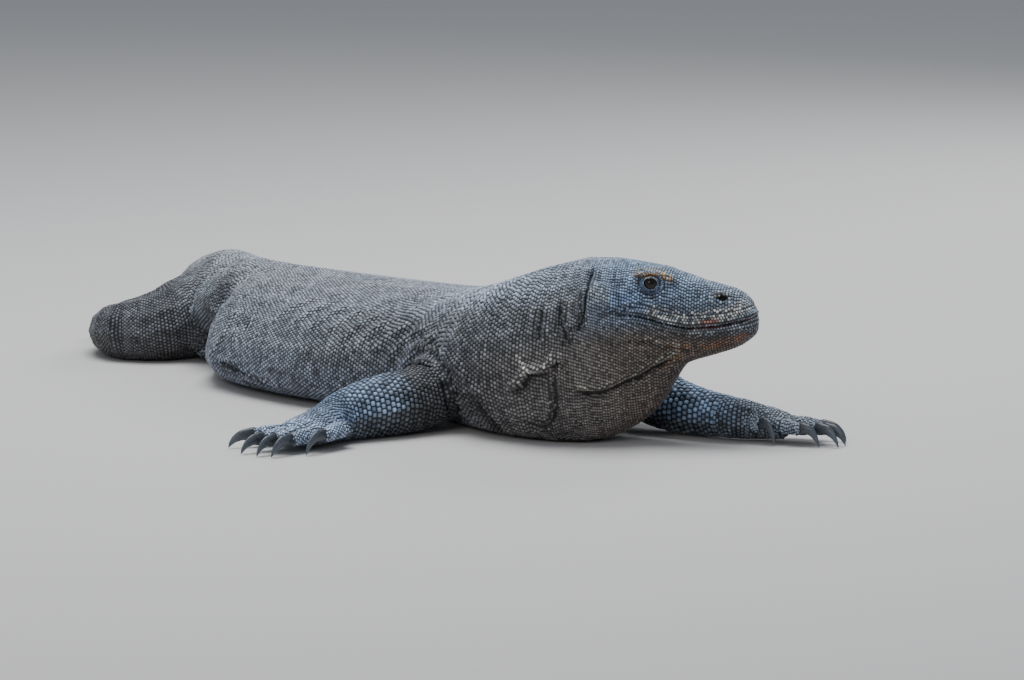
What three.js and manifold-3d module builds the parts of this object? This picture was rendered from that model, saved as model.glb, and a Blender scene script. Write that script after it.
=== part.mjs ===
// A Komodo dragon at rest, life size, in millimetres with +Z up.
//
// The animal lies on its belly with its head up and turned to its left. Its spine is one path in
// plan, given by the way it faces at a few distances behind the snout tip. Head, throat, neck,
// trunk and tail are lofts along that path, limbs and digits are lofts along paths of their own.
// Everything rests on the floor z = 0, and neighbours keep a gap of 0.3 mm.

import * as THREE from 'three';
import Module from 'manifold-3d';

const wasm = await Module();
wasm.setup();

// ---------------------------------------------------------------- driving dimensions

const gap = 0.3; // between neighbouring solids
const floorLevel = 0;
const snoutTip = [293, -838]; // plan position of the snout tip

// Distances behind the snout tip.
const earDistance = 205; // back of the head
const neckEnd = 350; // where the neck passes into the trunk
const ventDistance = 1172;
const tailMiddleDistance = 1560;
const tailTipDistance = 1960;
const bodyEnd = 2362;

// Way the spine faces, in degrees from +X, against distance behind the snout tip.
const facingKeys = [
  [0, -10], [192, -10], [255, -42], [325, -74], [395, -74], [520, -54], [700, -45], [850, -51],
  [985, -70], [1112, -81], [1190, -95], [1285, -148], [1385, -194], [1500, -222], [1640, -232],
  [1850, -226], [2000, -246], [2120, -268], [2362, -276],
];

// Cross-sections of the body: distance behind the snout tip, half width, top, height of the
// widest line, underside, and the squareness of the upper and the lower half (2 is round).
const bodySections = [
  [0, 9, 154, 145, 137, 2.0, 2.0],
  [3, 17, 164, 145, 131, 2.1, 2.1],
  [9, 23, 175, 145, 126, 2.2, 2.1],
  [20, 28, 184, 145, 118, 2.4, 2.1],
  [38, 32, 190, 145, 111, 2.5, 2.1],
  [60, 36, 195, 145, 104, 2.6, 2.2],
  [84, 41, 203, 145, 96, 2.7, 2.2],
  [98, 45, 207, 144, 74, 2.7, 2.1],
  [110, 48, 211, 143, 52, 2.7, 2.0],
  [126, 51, 214, 141, 33, 2.6, 2.0],
  [146, 58, 217, 137, 18, 2.5, 2.0],
  [172, 66, 220, 132, 4, 2.4, 2.0],
  [200, 71, 220, 122, -10, 2.2, 2.0],
  [240, 78, 211, 100, -14, 2.1, 2.1],
  [290, 90, 194, 84, -14, 2.1, 2.2],
  [340, 104, 180, 76, -14, 2.1, 2.3],
  [395, 119, 168, 68, -14, 2.1, 2.4],
  [460, 133, 155, 60, -14, 2.1, 2.4],
  [550, 156, 145, 52, -14, 2.1, 2.4],
  [640, 176, 140, 46, -14, 2.1, 2.4],
  [700, 175, 139, 44, -14, 2.1, 2.4],
  [760, 166, 139, 44, -14, 2.1, 2.4],
  [815, 157, 139, 44, -14, 2.1, 2.4],
  [862, 134, 139, 46, -14, 2.1, 2.4],
  [896, 110, 140, 48, -14, 2.0, 2.3],
  [930, 90, 140, 50, -14, 2.0, 2.2],
  [1000, 78, 139, 52, -14, 1.9, 2.2],
  [1070, 78, 136, 54, -14, 1.9, 2.2],
  [1112, 76, 130, 54, -12, 1.9, 2.2],
  [1172, 65, 113, 50, -10, 1.9, 2.2],
  [1240, 54, 93, 43, -8, 2.0, 2.1],
  [1340, 44, 81, 38, -7, 2.0, 2.1],
  [1480, 35, 69, 33, -6, 2.0, 2.1],
  [1660, 28, 60, 28, -5, 2.0, 2.1],
  [1880, 20, 46, 20, -4, 2.0, 2.1],
  [2080, 13, 31, 14, -3, 2.0, 2.1],
  [2260, 7.5, 18, 8, -2, 2.0, 2.1],
  [2362, 4, 9.5, 4, -1, 2.0, 2.0],
];

const bodySides = 22;
const tailSides = 14;
const limbSides = 11;
const digitSides = 6;
const clawSides = 6;

// ---------------------------------------------------------------- small mathematics

const radians = (degrees) => degrees * Math.PI / 180;
const mix = (a, b, t) => a + (b - a) * t;

// Smooth curve through rows whose first column rises: returns all the other columns at t.
function curveThrough(rows) {
  const last = rows.length - 1;
  const slope = (i, c) => (rows[i + 1][c] - rows[i][c]) / (rows[i + 1][0] - rows[i][0]);
  const tangent = (i, c) => {
    if (i === 0) return slope(0, c);
    if (i === last) return slope(last - 1, c);
    const before = slope(i - 1, c);
    const after = slope(i, c);
    return before * after <= 0 ? 0 : 2 * before * after / (before + after);
  };
  return (t) => {
    let i = 0;
    while (i < last - 1 && t > rows[i + 1][0]) i += 1;
    const span = rows[i + 1][0] - rows[i][0];
    const u = THREE.MathUtils.clamp((t - rows[i][0]) / span, 0, 1);
    const a = u * u * (3 - 2 * u);
    const b = u * (1 - u) * (1 - u) * span;
    const e = u * u * (u - 1) * span;
    return rows[i].slice(1).map((value, k) => {
      const c = k + 1;
      return mix(value, rows[i + 1][c], a) + b * tangent(i, c) + e * tangent(i + 1, c);
    });
  };
}

// Evenly spaced values from a to b, both included.
function spread(a, b, count) {
  return Array.from({ length: count }, (_, i) => mix(a, b, i / (count - 1)));
}

// ---------------------------------------------------------------- solids

// A closed manifold from rings of points that run anticlockwise seen from the first ring's outside.
function loftRings(rings) {
  const sides = rings[0].length;
  const points = rings.flat();
  const triangles = [];
  for (let r = 0; r + 1 < rings.length; r += 1) {
    for (let k = 0; k < sides; k += 1) {
      const a = r * sides + k;
      const b = r * sides + (k + 1) % sides;
      triangles.push([a, b, b + sides], [a, b + sides, a + sides]);
    }
  }
  for (const [r, outward] of [[0, false], [rings.length - 1, true]]) {
    const centre = points.length;
    const sum = rings[r].reduce((s, p) => [s[0] + p[0], s[1] + p[1], s[2] + p[2]], [0, 0, 0]);
    points.push(sum.map((v) => v / sides));
    for (let k = 0; k < sides; k += 1) {
      const a = r * sides + k;
      const b = r * sides + (k + 1) % sides;
      triangles.push(outward ? [a, b, centre] : [b, a, centre]);
    }
  }
  return manifoldFrom(points, triangles);
}

function manifoldFrom(points, triangles) {
  const solid = new wasm.Manifold(new wasm.Mesh({
    numProp: 3,
    vertProperties: new Float32Array(points.flat()),
    triVerts: new Uint32Array(triangles.flat()),
  }));
  if (solid.volume() > 0) return solid;
  const turned = triangles.map(([a, b, c]) => [a, c, b]);
  return new wasm.Manifold(new wasm.Mesh({
    numProp: 3,
    vertProperties: new Float32Array(points.flat()),
    triVerts: new Uint32Array(turned.flat()),
  }));
}

// A closed three.js geometry, such as a sphere, as a manifold.
function manifoldFromGeometry(geometry) {
  const position = geometry.getAttribute('position');
  const index = geometry.getIndex();
  const places = new Map();
  const points = [];
  const shared = [];
  for (let i = 0; i < position.count; i += 1) {
    const point = [position.getX(i), position.getY(i), position.getZ(i)];
    const key = point.map((v) => v.toFixed(4)).join();
    if (!places.has(key)) {
      places.set(key, points.length);
      points.push(point);
    }
    shared.push(places.get(key));
  }
  const triangles = [];
  for (let i = 0; i < index.count; i += 3) {
    const [a, b, c] = [0, 1, 2].map((k) => shared[index.getX(i + k)]);
    if (a !== b && b !== c && c !== a) triangles.push([a, b, c]);
  }
  return manifoldFrom(points, triangles);
}

function ellipsoid(centre, radii, turn = 0, across = 10, down = 7) {
  const geometry = new THREE.SphereGeometry(1, across, down);
  geometry.rotateX(Math.PI / 2);
  geometry.scale(...radii);
  geometry.rotateZ(turn);
  geometry.translate(...centre);
  return manifoldFromGeometry(geometry);
}

const raise = (value, power) => Math.sign(value) * Math.abs(value) ** power;

// ---------------------------------------------------------------- spine

const pathStep = 2;
const facingAt = curveThrough(facingKeys);
const pathPoints = [[...snoutTip]];
for (let d = 0; d < bodyEnd; d += pathStep) {
  const [x, y] = pathPoints[pathPoints.length - 1];
  const angle = radians(facingAt(d + pathStep / 2)[0]);
  pathPoints.push([x - pathStep * Math.cos(angle), y - pathStep * Math.sin(angle)]);
}

// Place and directions of the body at a distance behind the snout tip.
function spineAt(distance) {
  const i = Math.min(Math.floor(distance / pathStep), pathPoints.length - 2);
  const t = distance / pathStep - i;
  const angle = radians(facingAt(distance)[0]);
  return {
    x: mix(pathPoints[i][0], pathPoints[i + 1][0], t),
    y: mix(pathPoints[i][1], pathPoints[i + 1][1], t),
    forward: [Math.cos(angle), Math.sin(angle)],
    left: [-Math.sin(angle), Math.cos(angle)],
  };
}

// Point of the frame that moves along the spine: forward and left of it, at a height.
function bodyPoint(distance, left, height, forward = 0) {
  const s = spineAt(distance);
  return [
    s.x + left * s.left[0] + forward * s.forward[0],
    s.y + left * s.left[1] + forward * s.forward[1],
    height,
  ];
}

const sectionAt = curveThrough(bodySections);

function bodyRing(distance, sides, grow, lowest) {
  const [halfWidth, top, widest, under, roundTop, roundUnder] = sectionAt(distance);
  return spread(0, 2 * Math.PI, sides + 1).slice(0, -1).map((angle) => {
    const c = Math.cos(angle);
    const s = Math.sin(angle);
    const power = 2 / (s > 0 ? roundTop : roundUnder);
    const rise = s > 0 ? top - widest + grow : widest - under + grow;
    const height = Math.max(widest + rise * raise(s, power), lowest);
    return bodyPoint(distance, (halfWidth + grow) * raise(c, power), height);
  });
}

function bodyLoft(distances, sides, grow = 0) {
  const lowest = floorLevel - (grow > 0 ? 5 : 0);
  return loftRings(distances.map((d) => bodyRing(d, sides, grow, lowest)));
}

// Distances from one to another, about a step apart.
function stations(from, to, step) {
  return spread(from, to, Math.max(2, Math.round((to - from) / step) + 1));
}

// ---------------------------------------------------------------- head, lower jaw and neck

const headFrame = spineAt(earDistance - 5);
const headTurn = Math.atan2(headFrame.forward[1], headFrame.forward[0]);

// Head coordinates: forward of the back of the head, left of the middle, and height.
const headPoint = (forward, left, height) => [
  headFrame.x + forward * headFrame.forward[0] + left * headFrame.left[0],
  headFrame.y + forward * headFrame.forward[1] + left * headFrame.left[1],
  height,
];

// Lines seen from the side, as forward and height pairs from the snout back.
const mouthLine = [
  [230, 157], [199, 154], [180, 150], [158, 145.5], [136, 144], [122, 143], [111, 145], [97, 148],
  [77, 154], [61, 158], [41, 160.5], [28, 161],
];
const cheekLine = [[12, 130], [-5, 112]];
const gularLine = [
  [230, 60], [122, 60], [114, 84], [100, 97], [77, 90], [49, 77], [19, 65], [-5, 66],
];
const mouthOpening = 2.4; // at the front of the mouth, closing towards its corner
const prismReach = 150;
const above = 400;

function sidePrism(outline) {
  const shape = new THREE.Shape(outline.map(([u, h]) => new THREE.Vector2(u, h)));
  const geometry = new THREE.ExtrudeGeometry(shape, { depth: 2 * prismReach, bevelEnabled: false });
  geometry.translate(0, 0, -prismReach);
  geometry.rotateX(Math.PI / 2);
  geometry.rotateZ(headTurn);
  geometry.translate(headFrame.x, headFrame.y, 0);
  const indexed = geometry.getIndex() ? geometry : withIndex(geometry);
  return manifoldFromGeometry(indexed);
}

function withIndex(geometry) {
  const count = geometry.getAttribute('position').count;
  geometry.setIndex(Array.from({ length: count }, (_, i) => i));
  return geometry;
}

const backOfHead = [[-5, above], [230, above]];
const jawTop = mouthLine.map(([u, h]) => {
  const opening = mouthOpening * THREE.MathUtils.smoothstep(u, 90, 200);
  return [u, h - gap - opening];
});
const headPrism = sidePrism([...mouthLine, ...cheekLine, ...backOfHead]);
const jawPrism = sidePrism([
  ...jawTop,
  ...cheekLine.map(([u, h]) => [u, h - 2 * gap]),
  ...[...gularLine].reverse(),
]);
const faceCutter = sidePrism([
  ...gularLine.map(([u, h]) => [u, h - 2 * gap]),
  [-5 - gap, 66 - 2 * gap],
  [-5 - gap, above],
  [230, above],
]);

const front = bodyLoft([
  0, 3, 8, ...stations(16, 84, 11.4), ...stations(92, 128, 9), ...stations(140, 188, 16),
  ...stations(earDistance, neckEnd - gap / 2, 24),
], bodySides);

// Brow ridges and the muscle behind each eye, on both sides of the head.
const browBulges = [1, -1].flatMap((side) => [
  ellipsoid(headPoint(75, side * 30, 201.5), [27, 11, 8], headTurn - side * 0.12),
  ellipsoid(headPoint(18, side * 54, 166), [38, 20, 33], headTurn - side * 0.25),
]);

const eyeRadius = 10.5;
const eyePlaces = { left: headPoint(76, 33, 195), right: headPoint(76, -33, 195) };
const eyeSolids = Object.values(eyePlaces).map((place) => {
  const radii = [eyeRadius, eyeRadius, eyeRadius];
  return ellipsoid(place, radii, headTurn);
});
const eyeSockets = Object.values(eyePlaces).map((place) => {
  const radii = [eyeRadius + gap, eyeRadius + gap, eyeRadius + gap];
  return ellipsoid(place, radii, headTurn);
});

const frontWithBulges = browBulges.reduce((solid, bulge) => solid.add(bulge), front);
const headWhole = frontWithBulges.intersect(headPrism);
const headSolid = eyeSockets.reduce((solid, socket) => solid.subtract(socket), headWhole);
const jawSolid = frontWithBulges.intersect(jawPrism);
const neckSolid = front.subtract(faceCutter);

// ---------------------------------------------------------------- trunk and tail

const trunkSolid = bodyLoft(stations(neckEnd + gap / 2, ventDistance - gap / 2, 48), bodySides);

const tailCuts = [ventDistance, tailMiddleDistance, tailTipDistance, bodyEnd];
const tailNames = ['tail_base', 'tail_middle', 'tail_tip'];
const tailSolids = tailNames.map((_, i) => {
  const from = tailCuts[i] + gap / 2;
  const to = tailCuts[i + 1] - gap / 2;
  return bodyLoft(stations(from, to, 44), tailSides);
});

// Everything that a limb grows out of, larger by the gap.
const bodyCutter = bodyLoft([
  ...stations(140, 188, 16), ...stations(earDistance, neckEnd, 24),
  ...stations(neckEnd + gap / 2, ventDistance - gap / 2, 48).slice(1),
  ...stations(ventDistance + 36, tailMiddleDistance, 36),
], bodySides, gap);

// ---------------------------------------------------------------- limbs

// A loft along a smooth path through rows of x, y, height, half width and half height. It runs
// from one row to another, counted from 0, and where it stops short of an end of the path it
// leaves half the gap to its neighbour. sideways, if given, keeps every ring square to the floor.
function loftAlong(rows, from, to, count, sides, { grow = 0, sideways = null } = {}) {
  const last = rows.length - 1;
  const centres = rows.map(([x, y, z]) => new THREE.Vector3(x, y, z));
  const curve = new THREE.CatmullRomCurve3(centres, false, 'centripetal');
  const sizeAt = curveThrough(rows.map((row, i) => [i / last, row[3], row[4]]));
  const lowest = floorLevel - (grow > 0 ? 5 : 0);
  const rings = spread(from / last, to / last, count).map((t, i) => {
    const along = curve.getTangent(t);
    const back = (i === 0 && from > 0) ? gap / 2 : 0;
    const ahead = (i === count - 1 && to < last) ? gap / 2 : 0;
    const centre = curve.getPoint(t).addScaledVector(along, back - ahead);
    const side = sideways ? sideways.clone() : new THREE.Vector3(-along.y, along.x, 0).normalize();
    const up = new THREE.Vector3().crossVectors(along, side).normalize();
    const [halfWidth, halfHeight] = sizeAt(t);
    return spread(0, 2 * Math.PI, sides + 1).slice(0, -1).map((angle) => {
      const a = (halfWidth + grow) * Math.cos(angle);
      const b = (halfHeight + grow) * Math.sin(angle);
      const point = centre.clone().addScaledVector(side, a).addScaledVector(up, b);
      return [point.x, point.y, Math.max(point.z, lowest)];
    });
  });
  return loftRings(rings);
}

// A digit from its knuckle to its tip, and the claw that goes on from there to the floor.
// A row holds the knuckle's x, y and height, the heading in plan in degrees, the length of the
// flesh and the length of the claw.
function digitRows([x, y, height, heading, fleshLength, clawLength], thick) {
  const dir = [Math.cos(radians(heading)), Math.sin(radians(heading))];
  const row = (reach, level, halfWidth, halfHeight) => [
    x + reach * dir[0], y + reach * dir[1], level, halfWidth * thick, halfHeight * thick,
  ];
  const toe = [
    row(-0.35 * fleshLength, height, 1.15, 1.1),
    row(0.1 * fleshLength, height, 1.12, 1.12),
    row(0.5 * fleshLength, height * 0.95, 1, 1),
    row(0.82 * fleshLength, height * 0.92, 1, 1.02),
    row(fleshLength, height * 0.84, 0.84, 0.86),
  ];
  const start = fleshLength + gap;
  const root = height * 0.88;
  const nail = [
    row(start, root, 0.55, 0.74),
    row(start + 0.35 * clawLength, root * 1.02, 0.48, 0.62),
    row(start + 0.7 * clawLength, root * 0.76, 0.35, 0.44),
    row(start + 0.92 * clawLength, root * 0.34, 0.2, 0.22),
    row(start + clawLength, 0.8, 0.07, 0.07),
  ];
  return { toe, nail, sideways: new THREE.Vector3(-dir[1], dir[0], 0) };
}

// One limb: two lengths of leg, a foot with its digits, and the claws. Each is cut clear of what
// comes before it.
function buildLimb({ rows, joint, ankle, thick, digits }) {
  const last = rows.length - 1;
  const upper = (grow) => loftAlong(rows, 0, joint, 7, limbSides, { grow });
  const lower = (grow) => loftAlong(rows, joint, ankle, 6, limbSides, { grow });
  const foot = (grow) => digits.reduce((palm, digit) => {
    const { toe, sideways } = digitRows(digit, thick);
    return palm.add(loftAlong(toe, 0, toe.length - 1, 4, digitSides, { grow, sideways }));
  }, loftAlong(rows, ankle, last, 5, limbSides, { grow }));
  const claws = digits.map((digit) => {
    const { nail, sideways } = digitRows(digit, thick);
    return loftAlong(nail, 0, nail.length - 1, 5, clawSides, { sideways });
  });
  const besideFoot = foot(gap);
  const besideUpper = upper(gap);
  return {
    upperLeg: upper(0).subtract(bodyCutter),
    lowerLeg: lower(0).subtract(besideUpper).subtract(bodyCutter),
    foot: foot(0).subtract(lower(gap)).subtract(besideUpper).subtract(bodyCutter),
    claws: claws.map((claw) => claw.subtract(besideFoot)),
  };
}

// Rows: x, y and height of the middle of the limb, half width and half height, from inside the
// body to the knuckles. joint and ankle say which rows the limb is divided at.
const limbs = {
  front_right: {
    rows: [
      [-40, -645, 84, 46, 50],
      [-66, -682, 66, 46, 48],
      [-94, -722, 47, 43, 43],
      [-120, -750, 38, 39, 40],
      [-158, -780, 36, 36, 38],
      [-206, -815, 29, 28, 30],
      [-226, -838, 22, 31, 22],
      [-248, -862, 19, 34, 18],
      [-258, -872, 16, 30, 14],
    ],
    joint: 3,
    ankle: 5,
    thick: 10,
    digits: [
      [-202, -866, 22, -125, 36, 34],
      [-238, -884, 19, -130, 36, 33],
      [-253, -878, 18, -132, 40, 30],
      [-267, -868, 17, -139, 38, 31],
      [-279, -848, 16, -162, 30, 30],
    ],
  },
  front_left: {
    rows: [
      [70, -640, 84, 44, 50],
      [112, -672, 66, 42, 46],
      [160, -720, 46, 38, 38],
      [200, -756, 32, 32, 33],
      [238, -786, 28, 28, 28],
      [278, -808, 25, 25, 25],
      [298, -808, 22, 26, 22],
      [320, -815, 19, 30, 18],
      [330, -819, 16, 27, 14],
    ],
    joint: 3,
    ankle: 5,
    thick: 9.5,
    digits: [
      [283, -818, 27, -50, 21, 24],
      [322, -838, 22, -32, 26, 23],
      [337, -828, 22, -39, 34, 30],
      [344, -816, 20, -38, 38, 28],
      [342, -800, 19, -24, 34, 28],
    ],
  },
  hind_right: {
    rows: [
      [-362, -116, 68, 58, 48],
      [-408, -146, 62, 54, 54],
      [-460, -166, 43, 50, 48],
      [-502, -162, 37, 42, 41],
      [-524, -116, 31, 35, 33],
      [-524, -66, 24, 28, 26],
      [-518, -32, 18, 26, 18],
      [-512, 2, 14, 28, 14],
      [-510, 14, 12, 25, 12],
    ],
    joint: 3,
    ankle: 5,
    thick: 9,
    digits: [
      [-492, 8, 12, 62, 34, 24],
      [-500, 16, 12, 76, 44, 25],
      [-510, 20, 12, 90, 52, 26],
      [-520, 16, 12, 103, 56, 26],
      [-532, -26, 12, 128, 34, 22],
    ],
  },
  hind_left: {
    rows: [
      [-362, -100, 68, 52, 48],
      [-318, -114, 58, 50, 48],
      [-262, -128, 44, 46, 44],
      [-205, -134, 36, 40, 38],
      [-166, -126, 30, 32, 31],
      [-132, -115, 23, 25, 24],
      [-112, -118, 18, 24, 18],
      [-96, -130, 14, 27, 14],
      [-90, -137, 12, 25, 12],
    ],
    joint: 3,
    ankle: 5,
    thick: 9,
    digits: [
      [-104, -146, 12, -82, 30, 22],
      [-95, -148, 12, -68, 38, 24],
      [-88, -144, 12, -55, 42, 24],
      [-80, -136, 12, -42, 44, 24],
      [-100, -114, 12, -10, 30, 20],
    ],
  },
};

// ---------------------------------------------------------------- group

const skinGrey = new THREE.MeshStandardMaterial({ color: 0x5b5d5e, roughness: 0.72, metalness: 0 });
const clawGrey = new THREE.MeshStandardMaterial({ color: 0x3a3d42, roughness: 0.45, metalness: 0 });
const eyeBrown = new THREE.MeshStandardMaterial({ color: 0x1c1512, roughness: 0.12, metalness: 0 });

const group = new THREE.Group();

function addNode(name, solid, material) {
  const mesh = solid.getMesh();
  const geometry = new THREE.BufferGeometry();
  const positions = new Float32Array(mesh.numVert * 3);
  for (let i = 0; i < mesh.numVert; i += 1) {
    for (let c = 0; c < 3; c += 1) positions[3 * i + c] = mesh.vertProperties[mesh.numProp * i + c];
  }
  geometry.setAttribute('position', new THREE.BufferAttribute(positions, 3));
  geometry.setIndex(new THREE.BufferAttribute(new Uint32Array(mesh.triVerts), 1));
  const node = new THREE.Mesh(geometry, material.clone());
  node.name = name;
  group.add(node);
}

addNode('head', headSolid, skinGrey);
addNode('lower_jaw', jawSolid, skinGrey);
addNode('neck', neckSolid, skinGrey);
addNode('trunk', trunkSolid, skinGrey);
tailNames.forEach((name, i) => addNode(name, tailSolids[i], skinGrey));
Object.keys(eyePlaces).forEach((side, i) => addNode(`eye_${side}`, eyeSolids[i], eyeBrown));

for (const [name, limb] of Object.entries(limbs)) {
  const built = buildLimb(limb);
  addNode(`${name}_upper_leg`, built.upperLeg, skinGrey);
  addNode(`${name}_lower_leg`, built.lowerLeg, skinGrey);
  addNode(`${name}_foot`, built.foot, skinGrey);
  built.claws.forEach((claw, i) => addNode(`${name}_claw_${i + 1}`, claw, clawGrey));
}

// The origin is on the floor under the middle of the whole animal.
const box = new THREE.Box3().setFromObject(group);
const middle = box.getCenter(new THREE.Vector3());
group.children.forEach((node) => node.geometry.translate(-middle.x, -middle.y, -floorLevel));

export default group;
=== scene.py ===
import math
import bmesh
import bpy
import numpy as np
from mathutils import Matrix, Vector
from mathutils.bvhtree import BVHTree
from mathutils.kdtree import KDTree


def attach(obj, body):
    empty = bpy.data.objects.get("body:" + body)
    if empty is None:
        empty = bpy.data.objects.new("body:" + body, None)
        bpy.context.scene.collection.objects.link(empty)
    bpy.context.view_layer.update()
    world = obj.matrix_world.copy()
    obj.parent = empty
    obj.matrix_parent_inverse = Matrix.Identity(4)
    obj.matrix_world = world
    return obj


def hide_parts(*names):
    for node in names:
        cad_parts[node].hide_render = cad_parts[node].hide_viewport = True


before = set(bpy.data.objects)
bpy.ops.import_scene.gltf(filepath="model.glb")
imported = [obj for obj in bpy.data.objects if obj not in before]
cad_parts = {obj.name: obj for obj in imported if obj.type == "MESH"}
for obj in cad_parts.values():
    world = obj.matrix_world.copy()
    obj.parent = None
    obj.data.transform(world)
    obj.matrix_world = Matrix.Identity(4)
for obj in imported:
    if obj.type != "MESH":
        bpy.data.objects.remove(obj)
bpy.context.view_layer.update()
mm = 0.001


def unit(v):
    return v / np.maximum(np.linalg.norm(v, axis=-1, keepdims=True), 1e-12)


def smoothStep(x, low, high):
    t = np.clip((x - low) / (high - low), 0.0, 1.0)
    return t * t * (3 - 2 * t)


def addObject(name, data):
    thing = bpy.data.objects.new(name, data)
    bpy.context.scene.collection.objects.link(thing)
    return thing


def evaluated(holder):
    # the mesh that an object's modifiers give
    return bpy.data.meshes.new_from_object(holder.evaluated_get(bpy.context.evaluated_depsgraph_get()))


def readField(items, key, width=1, kind=np.float32):
    # one property of all the points, edges or faces of a mesh
    values = np.zeros(len(items) * width, kind)
    items.foreach_get(key, values)
    values = values.astype(float) if kind is np.float32 else values
    return values.reshape(-1, width) if width > 1 else values


def addField(mesh, name, kind, values):
    key = {"FLOAT": "value", "FLOAT_VECTOR": "vector", "FLOAT_COLOR": "color"}[kind]
    layer = mesh.attributes.new(name, kind, "POINT")
    layer.data.foreach_set(key, np.asarray(values, np.float32).ravel())


def addPigment(mesh, colours):
    addField(mesh, "pigment", "FLOAT_COLOR", np.column_stack([colours, np.ones(len(colours))]))


def smoothFaces(mesh):
    mesh.polygons.foreach_set("use_smooth", np.ones(len(mesh.polygons), bool))


def treeOfPoints(points):
    tree = KDTree(len(points))
    for n, p in enumerate(points):
        tree.insert(p, n)
    tree.balance()
    return tree


# the camera stands at the animal's right side, far off, with a long lens; places are in metres
cameraLook = {
    "place": (0.08383, -7.02920, 1.10858),
    "target": (0.08383, 0.38842, 0.0),
    "focalPixels": 5600.0,
    "frame": (1024, 680),
    "sensor": 36.0,
    "farEnd": 60,
}


def makeCamera():
    data = bpy.data.cameras.new("camera")
    camera = addObject("camera", data)
    place = Vector(cameraLook["place"])
    camera.location = place
    camera.rotation_euler = (Vector(cameraLook["target"]) - place).to_track_quat("-Z", "Y").to_euler()
    data.sensor_width = cameraLook["sensor"]
    data.lens = cameraLook["sensor"] * cameraLook["focalPixels"] / cameraLook["frame"][0]
    data.clip_end = cameraLook["farEnd"]
    bpy.context.scene.camera = camera
    return camera


def viewRay(px, py):
    # direction from the camera through a point of the picture
    turn = camera.rotation_euler.to_matrix()
    width, height = cameraLook["frame"]
    f = cameraLook["focalPixels"]
    return (turn @ Vector(((px - width / 2) / f, (height / 2 - py) / f, -1.0))).normalized()


camera = makeCamera()

studio = {
    "floorSize": 60,
    "floorHeight": -0.0006,
    "floorRoughness": 0.9,
    "floorColour": (0.62, 0.60, 0.58),
    "sky": (0.80, 0.88, 1.0),
    "skyStrength": 0.34,
    # name: place, aim, size, watts, colour
    "lamps": {
        "top": ((-0.3, 0.1, 3.2), (0.0, 0.0, 0.05), 2.4, 125, (0.94, 0.97, 1.0)),
        "front": ((-1.6, -3.6, 1.9), (0.0, -0.1, 0.1), 1.8, 24, (1.0, 0.97, 0.93)),
        "back": ((1.8, 2.4, 1.8), (0.1, 0.0, 0.1), 1.4, 40, (0.95, 0.97, 1.0)),
    },
}


def makeStudio():
    world = bpy.data.worlds.new("studio")
    bpy.context.scene.world = world
    world.use_nodes = True
    back = world.node_tree.nodes["Background"]
    back.inputs["Color"].default_value = (*studio["sky"], 1)
    back.inputs["Strength"].default_value = studio["skyStrength"]
    for name, (place, aim, size, watts, colour) in studio["lamps"].items():
        data = bpy.data.lights.new(name, "AREA")
        data.size = size
        data.energy = watts
        data.color = colour
        lamp = addObject(name, data)
        lamp.location = place
        lamp.rotation_euler = (Vector(aim) - Vector(place)).to_track_quat("-Z", "Y").to_euler()
    bpy.ops.mesh.primitive_plane_add(size=studio["floorSize"], location=(0, 0, studio["floorHeight"]))
    floor = bpy.context.object
    floor.name = "floor"
    material = bpy.data.materials.new("floor")
    material.use_nodes = True
    shader = material.node_tree.nodes["Principled BSDF"]
    shader.inputs["Base Color"].default_value = (*studio["floorColour"], 1)
    shader.inputs["Roughness"].default_value = studio["floorRoughness"]
    floor.data.materials.append(material)


makeStudio()
print("camera, light and floor are set")


# the spine seen from above and the body round it, shared by the skin and the scales
bodyPath = {
    "snoutTip": (0.37683, -0.44958),
    "length": 2.362,
    "step": 0.002,
    # distance behind the snout tip and the way the spine faces there, mm and degrees
    "facing": [
        (0, -10), (192, -10), (255, -42), (325, -74), (395, -74), (520, -54), (700, -45),
        (850, -51), (985, -70), (1112, -81), (1190, -95), (1285, -148), (1385, -194),
        (1500, -222), (1640, -232), (1850, -226), (2000, -246), (2120, -268), (2362, -276),
    ],
    # distance, half width, top and height of the widest line, mm
    "sections": [
        (0, 9, 154, 145), (9, 23, 175, 145), (38, 32, 190, 145), (84, 41, 203, 145),
        (126, 51, 214, 141), (172, 66, 220, 132), (200, 71, 220, 122), (240, 78, 211, 100),
        (290, 90, 194, 84), (340, 104, 180, 76), (395, 119, 168, 68), (460, 133, 155, 60),
        (550, 156, 145, 52), (640, 176, 140, 46), (700, 175, 139, 44), (760, 166, 139, 44),
        (815, 157, 139, 44), (862, 134, 139, 46), (896, 110, 140, 48), (930, 90, 140, 50),
        (1000, 78, 139, 52), (1112, 76, 130, 54), (1172, 65, 113, 50), (1240, 54, 93, 43),
        (1340, 44, 81, 38), (1480, 35, 69, 33), (1660, 28, 60, 28), (1880, 20, 46, 20),
        (2080, 13, 31, 14), (2260, 7.5, 18, 8), (2362, 4, 9.5, 4),
    ],
}


def curveThrough(rows, t):
    # smooth curve without overshoot through rows whose first column rises
    rows = np.asarray(rows, float)
    x, y = rows[:, 0], rows[:, 1:]
    slope = (y[1:] - y[:-1]) / (x[1:] - x[:-1])[:, None]
    tangent = np.zeros_like(y)
    tangent[0], tangent[-1] = slope[0], slope[-1]
    same = slope[:-1] * slope[1:] > 0
    total = np.where(same, slope[:-1] + slope[1:], 1.0)
    tangent[1:-1] = np.where(same, 2 * slope[:-1] * slope[1:] / total, 0.0)
    t = np.atleast_1d(np.asarray(t, float))
    i = np.clip(np.searchsorted(x, t, side="right") - 1, 0, len(x) - 2)
    span = (x[i + 1] - x[i])[:, None]
    u = np.clip((t - x[i])[:, None] / span, 0, 1)
    a = u * u * (3 - 2 * u)
    b = u * (1 - u) ** 2 * span
    e = u * u * (u - 1) * span
    return y[i] + (y[i + 1] - y[i]) * a + b * tangent[i] + e * tangent[i + 1]


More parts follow.
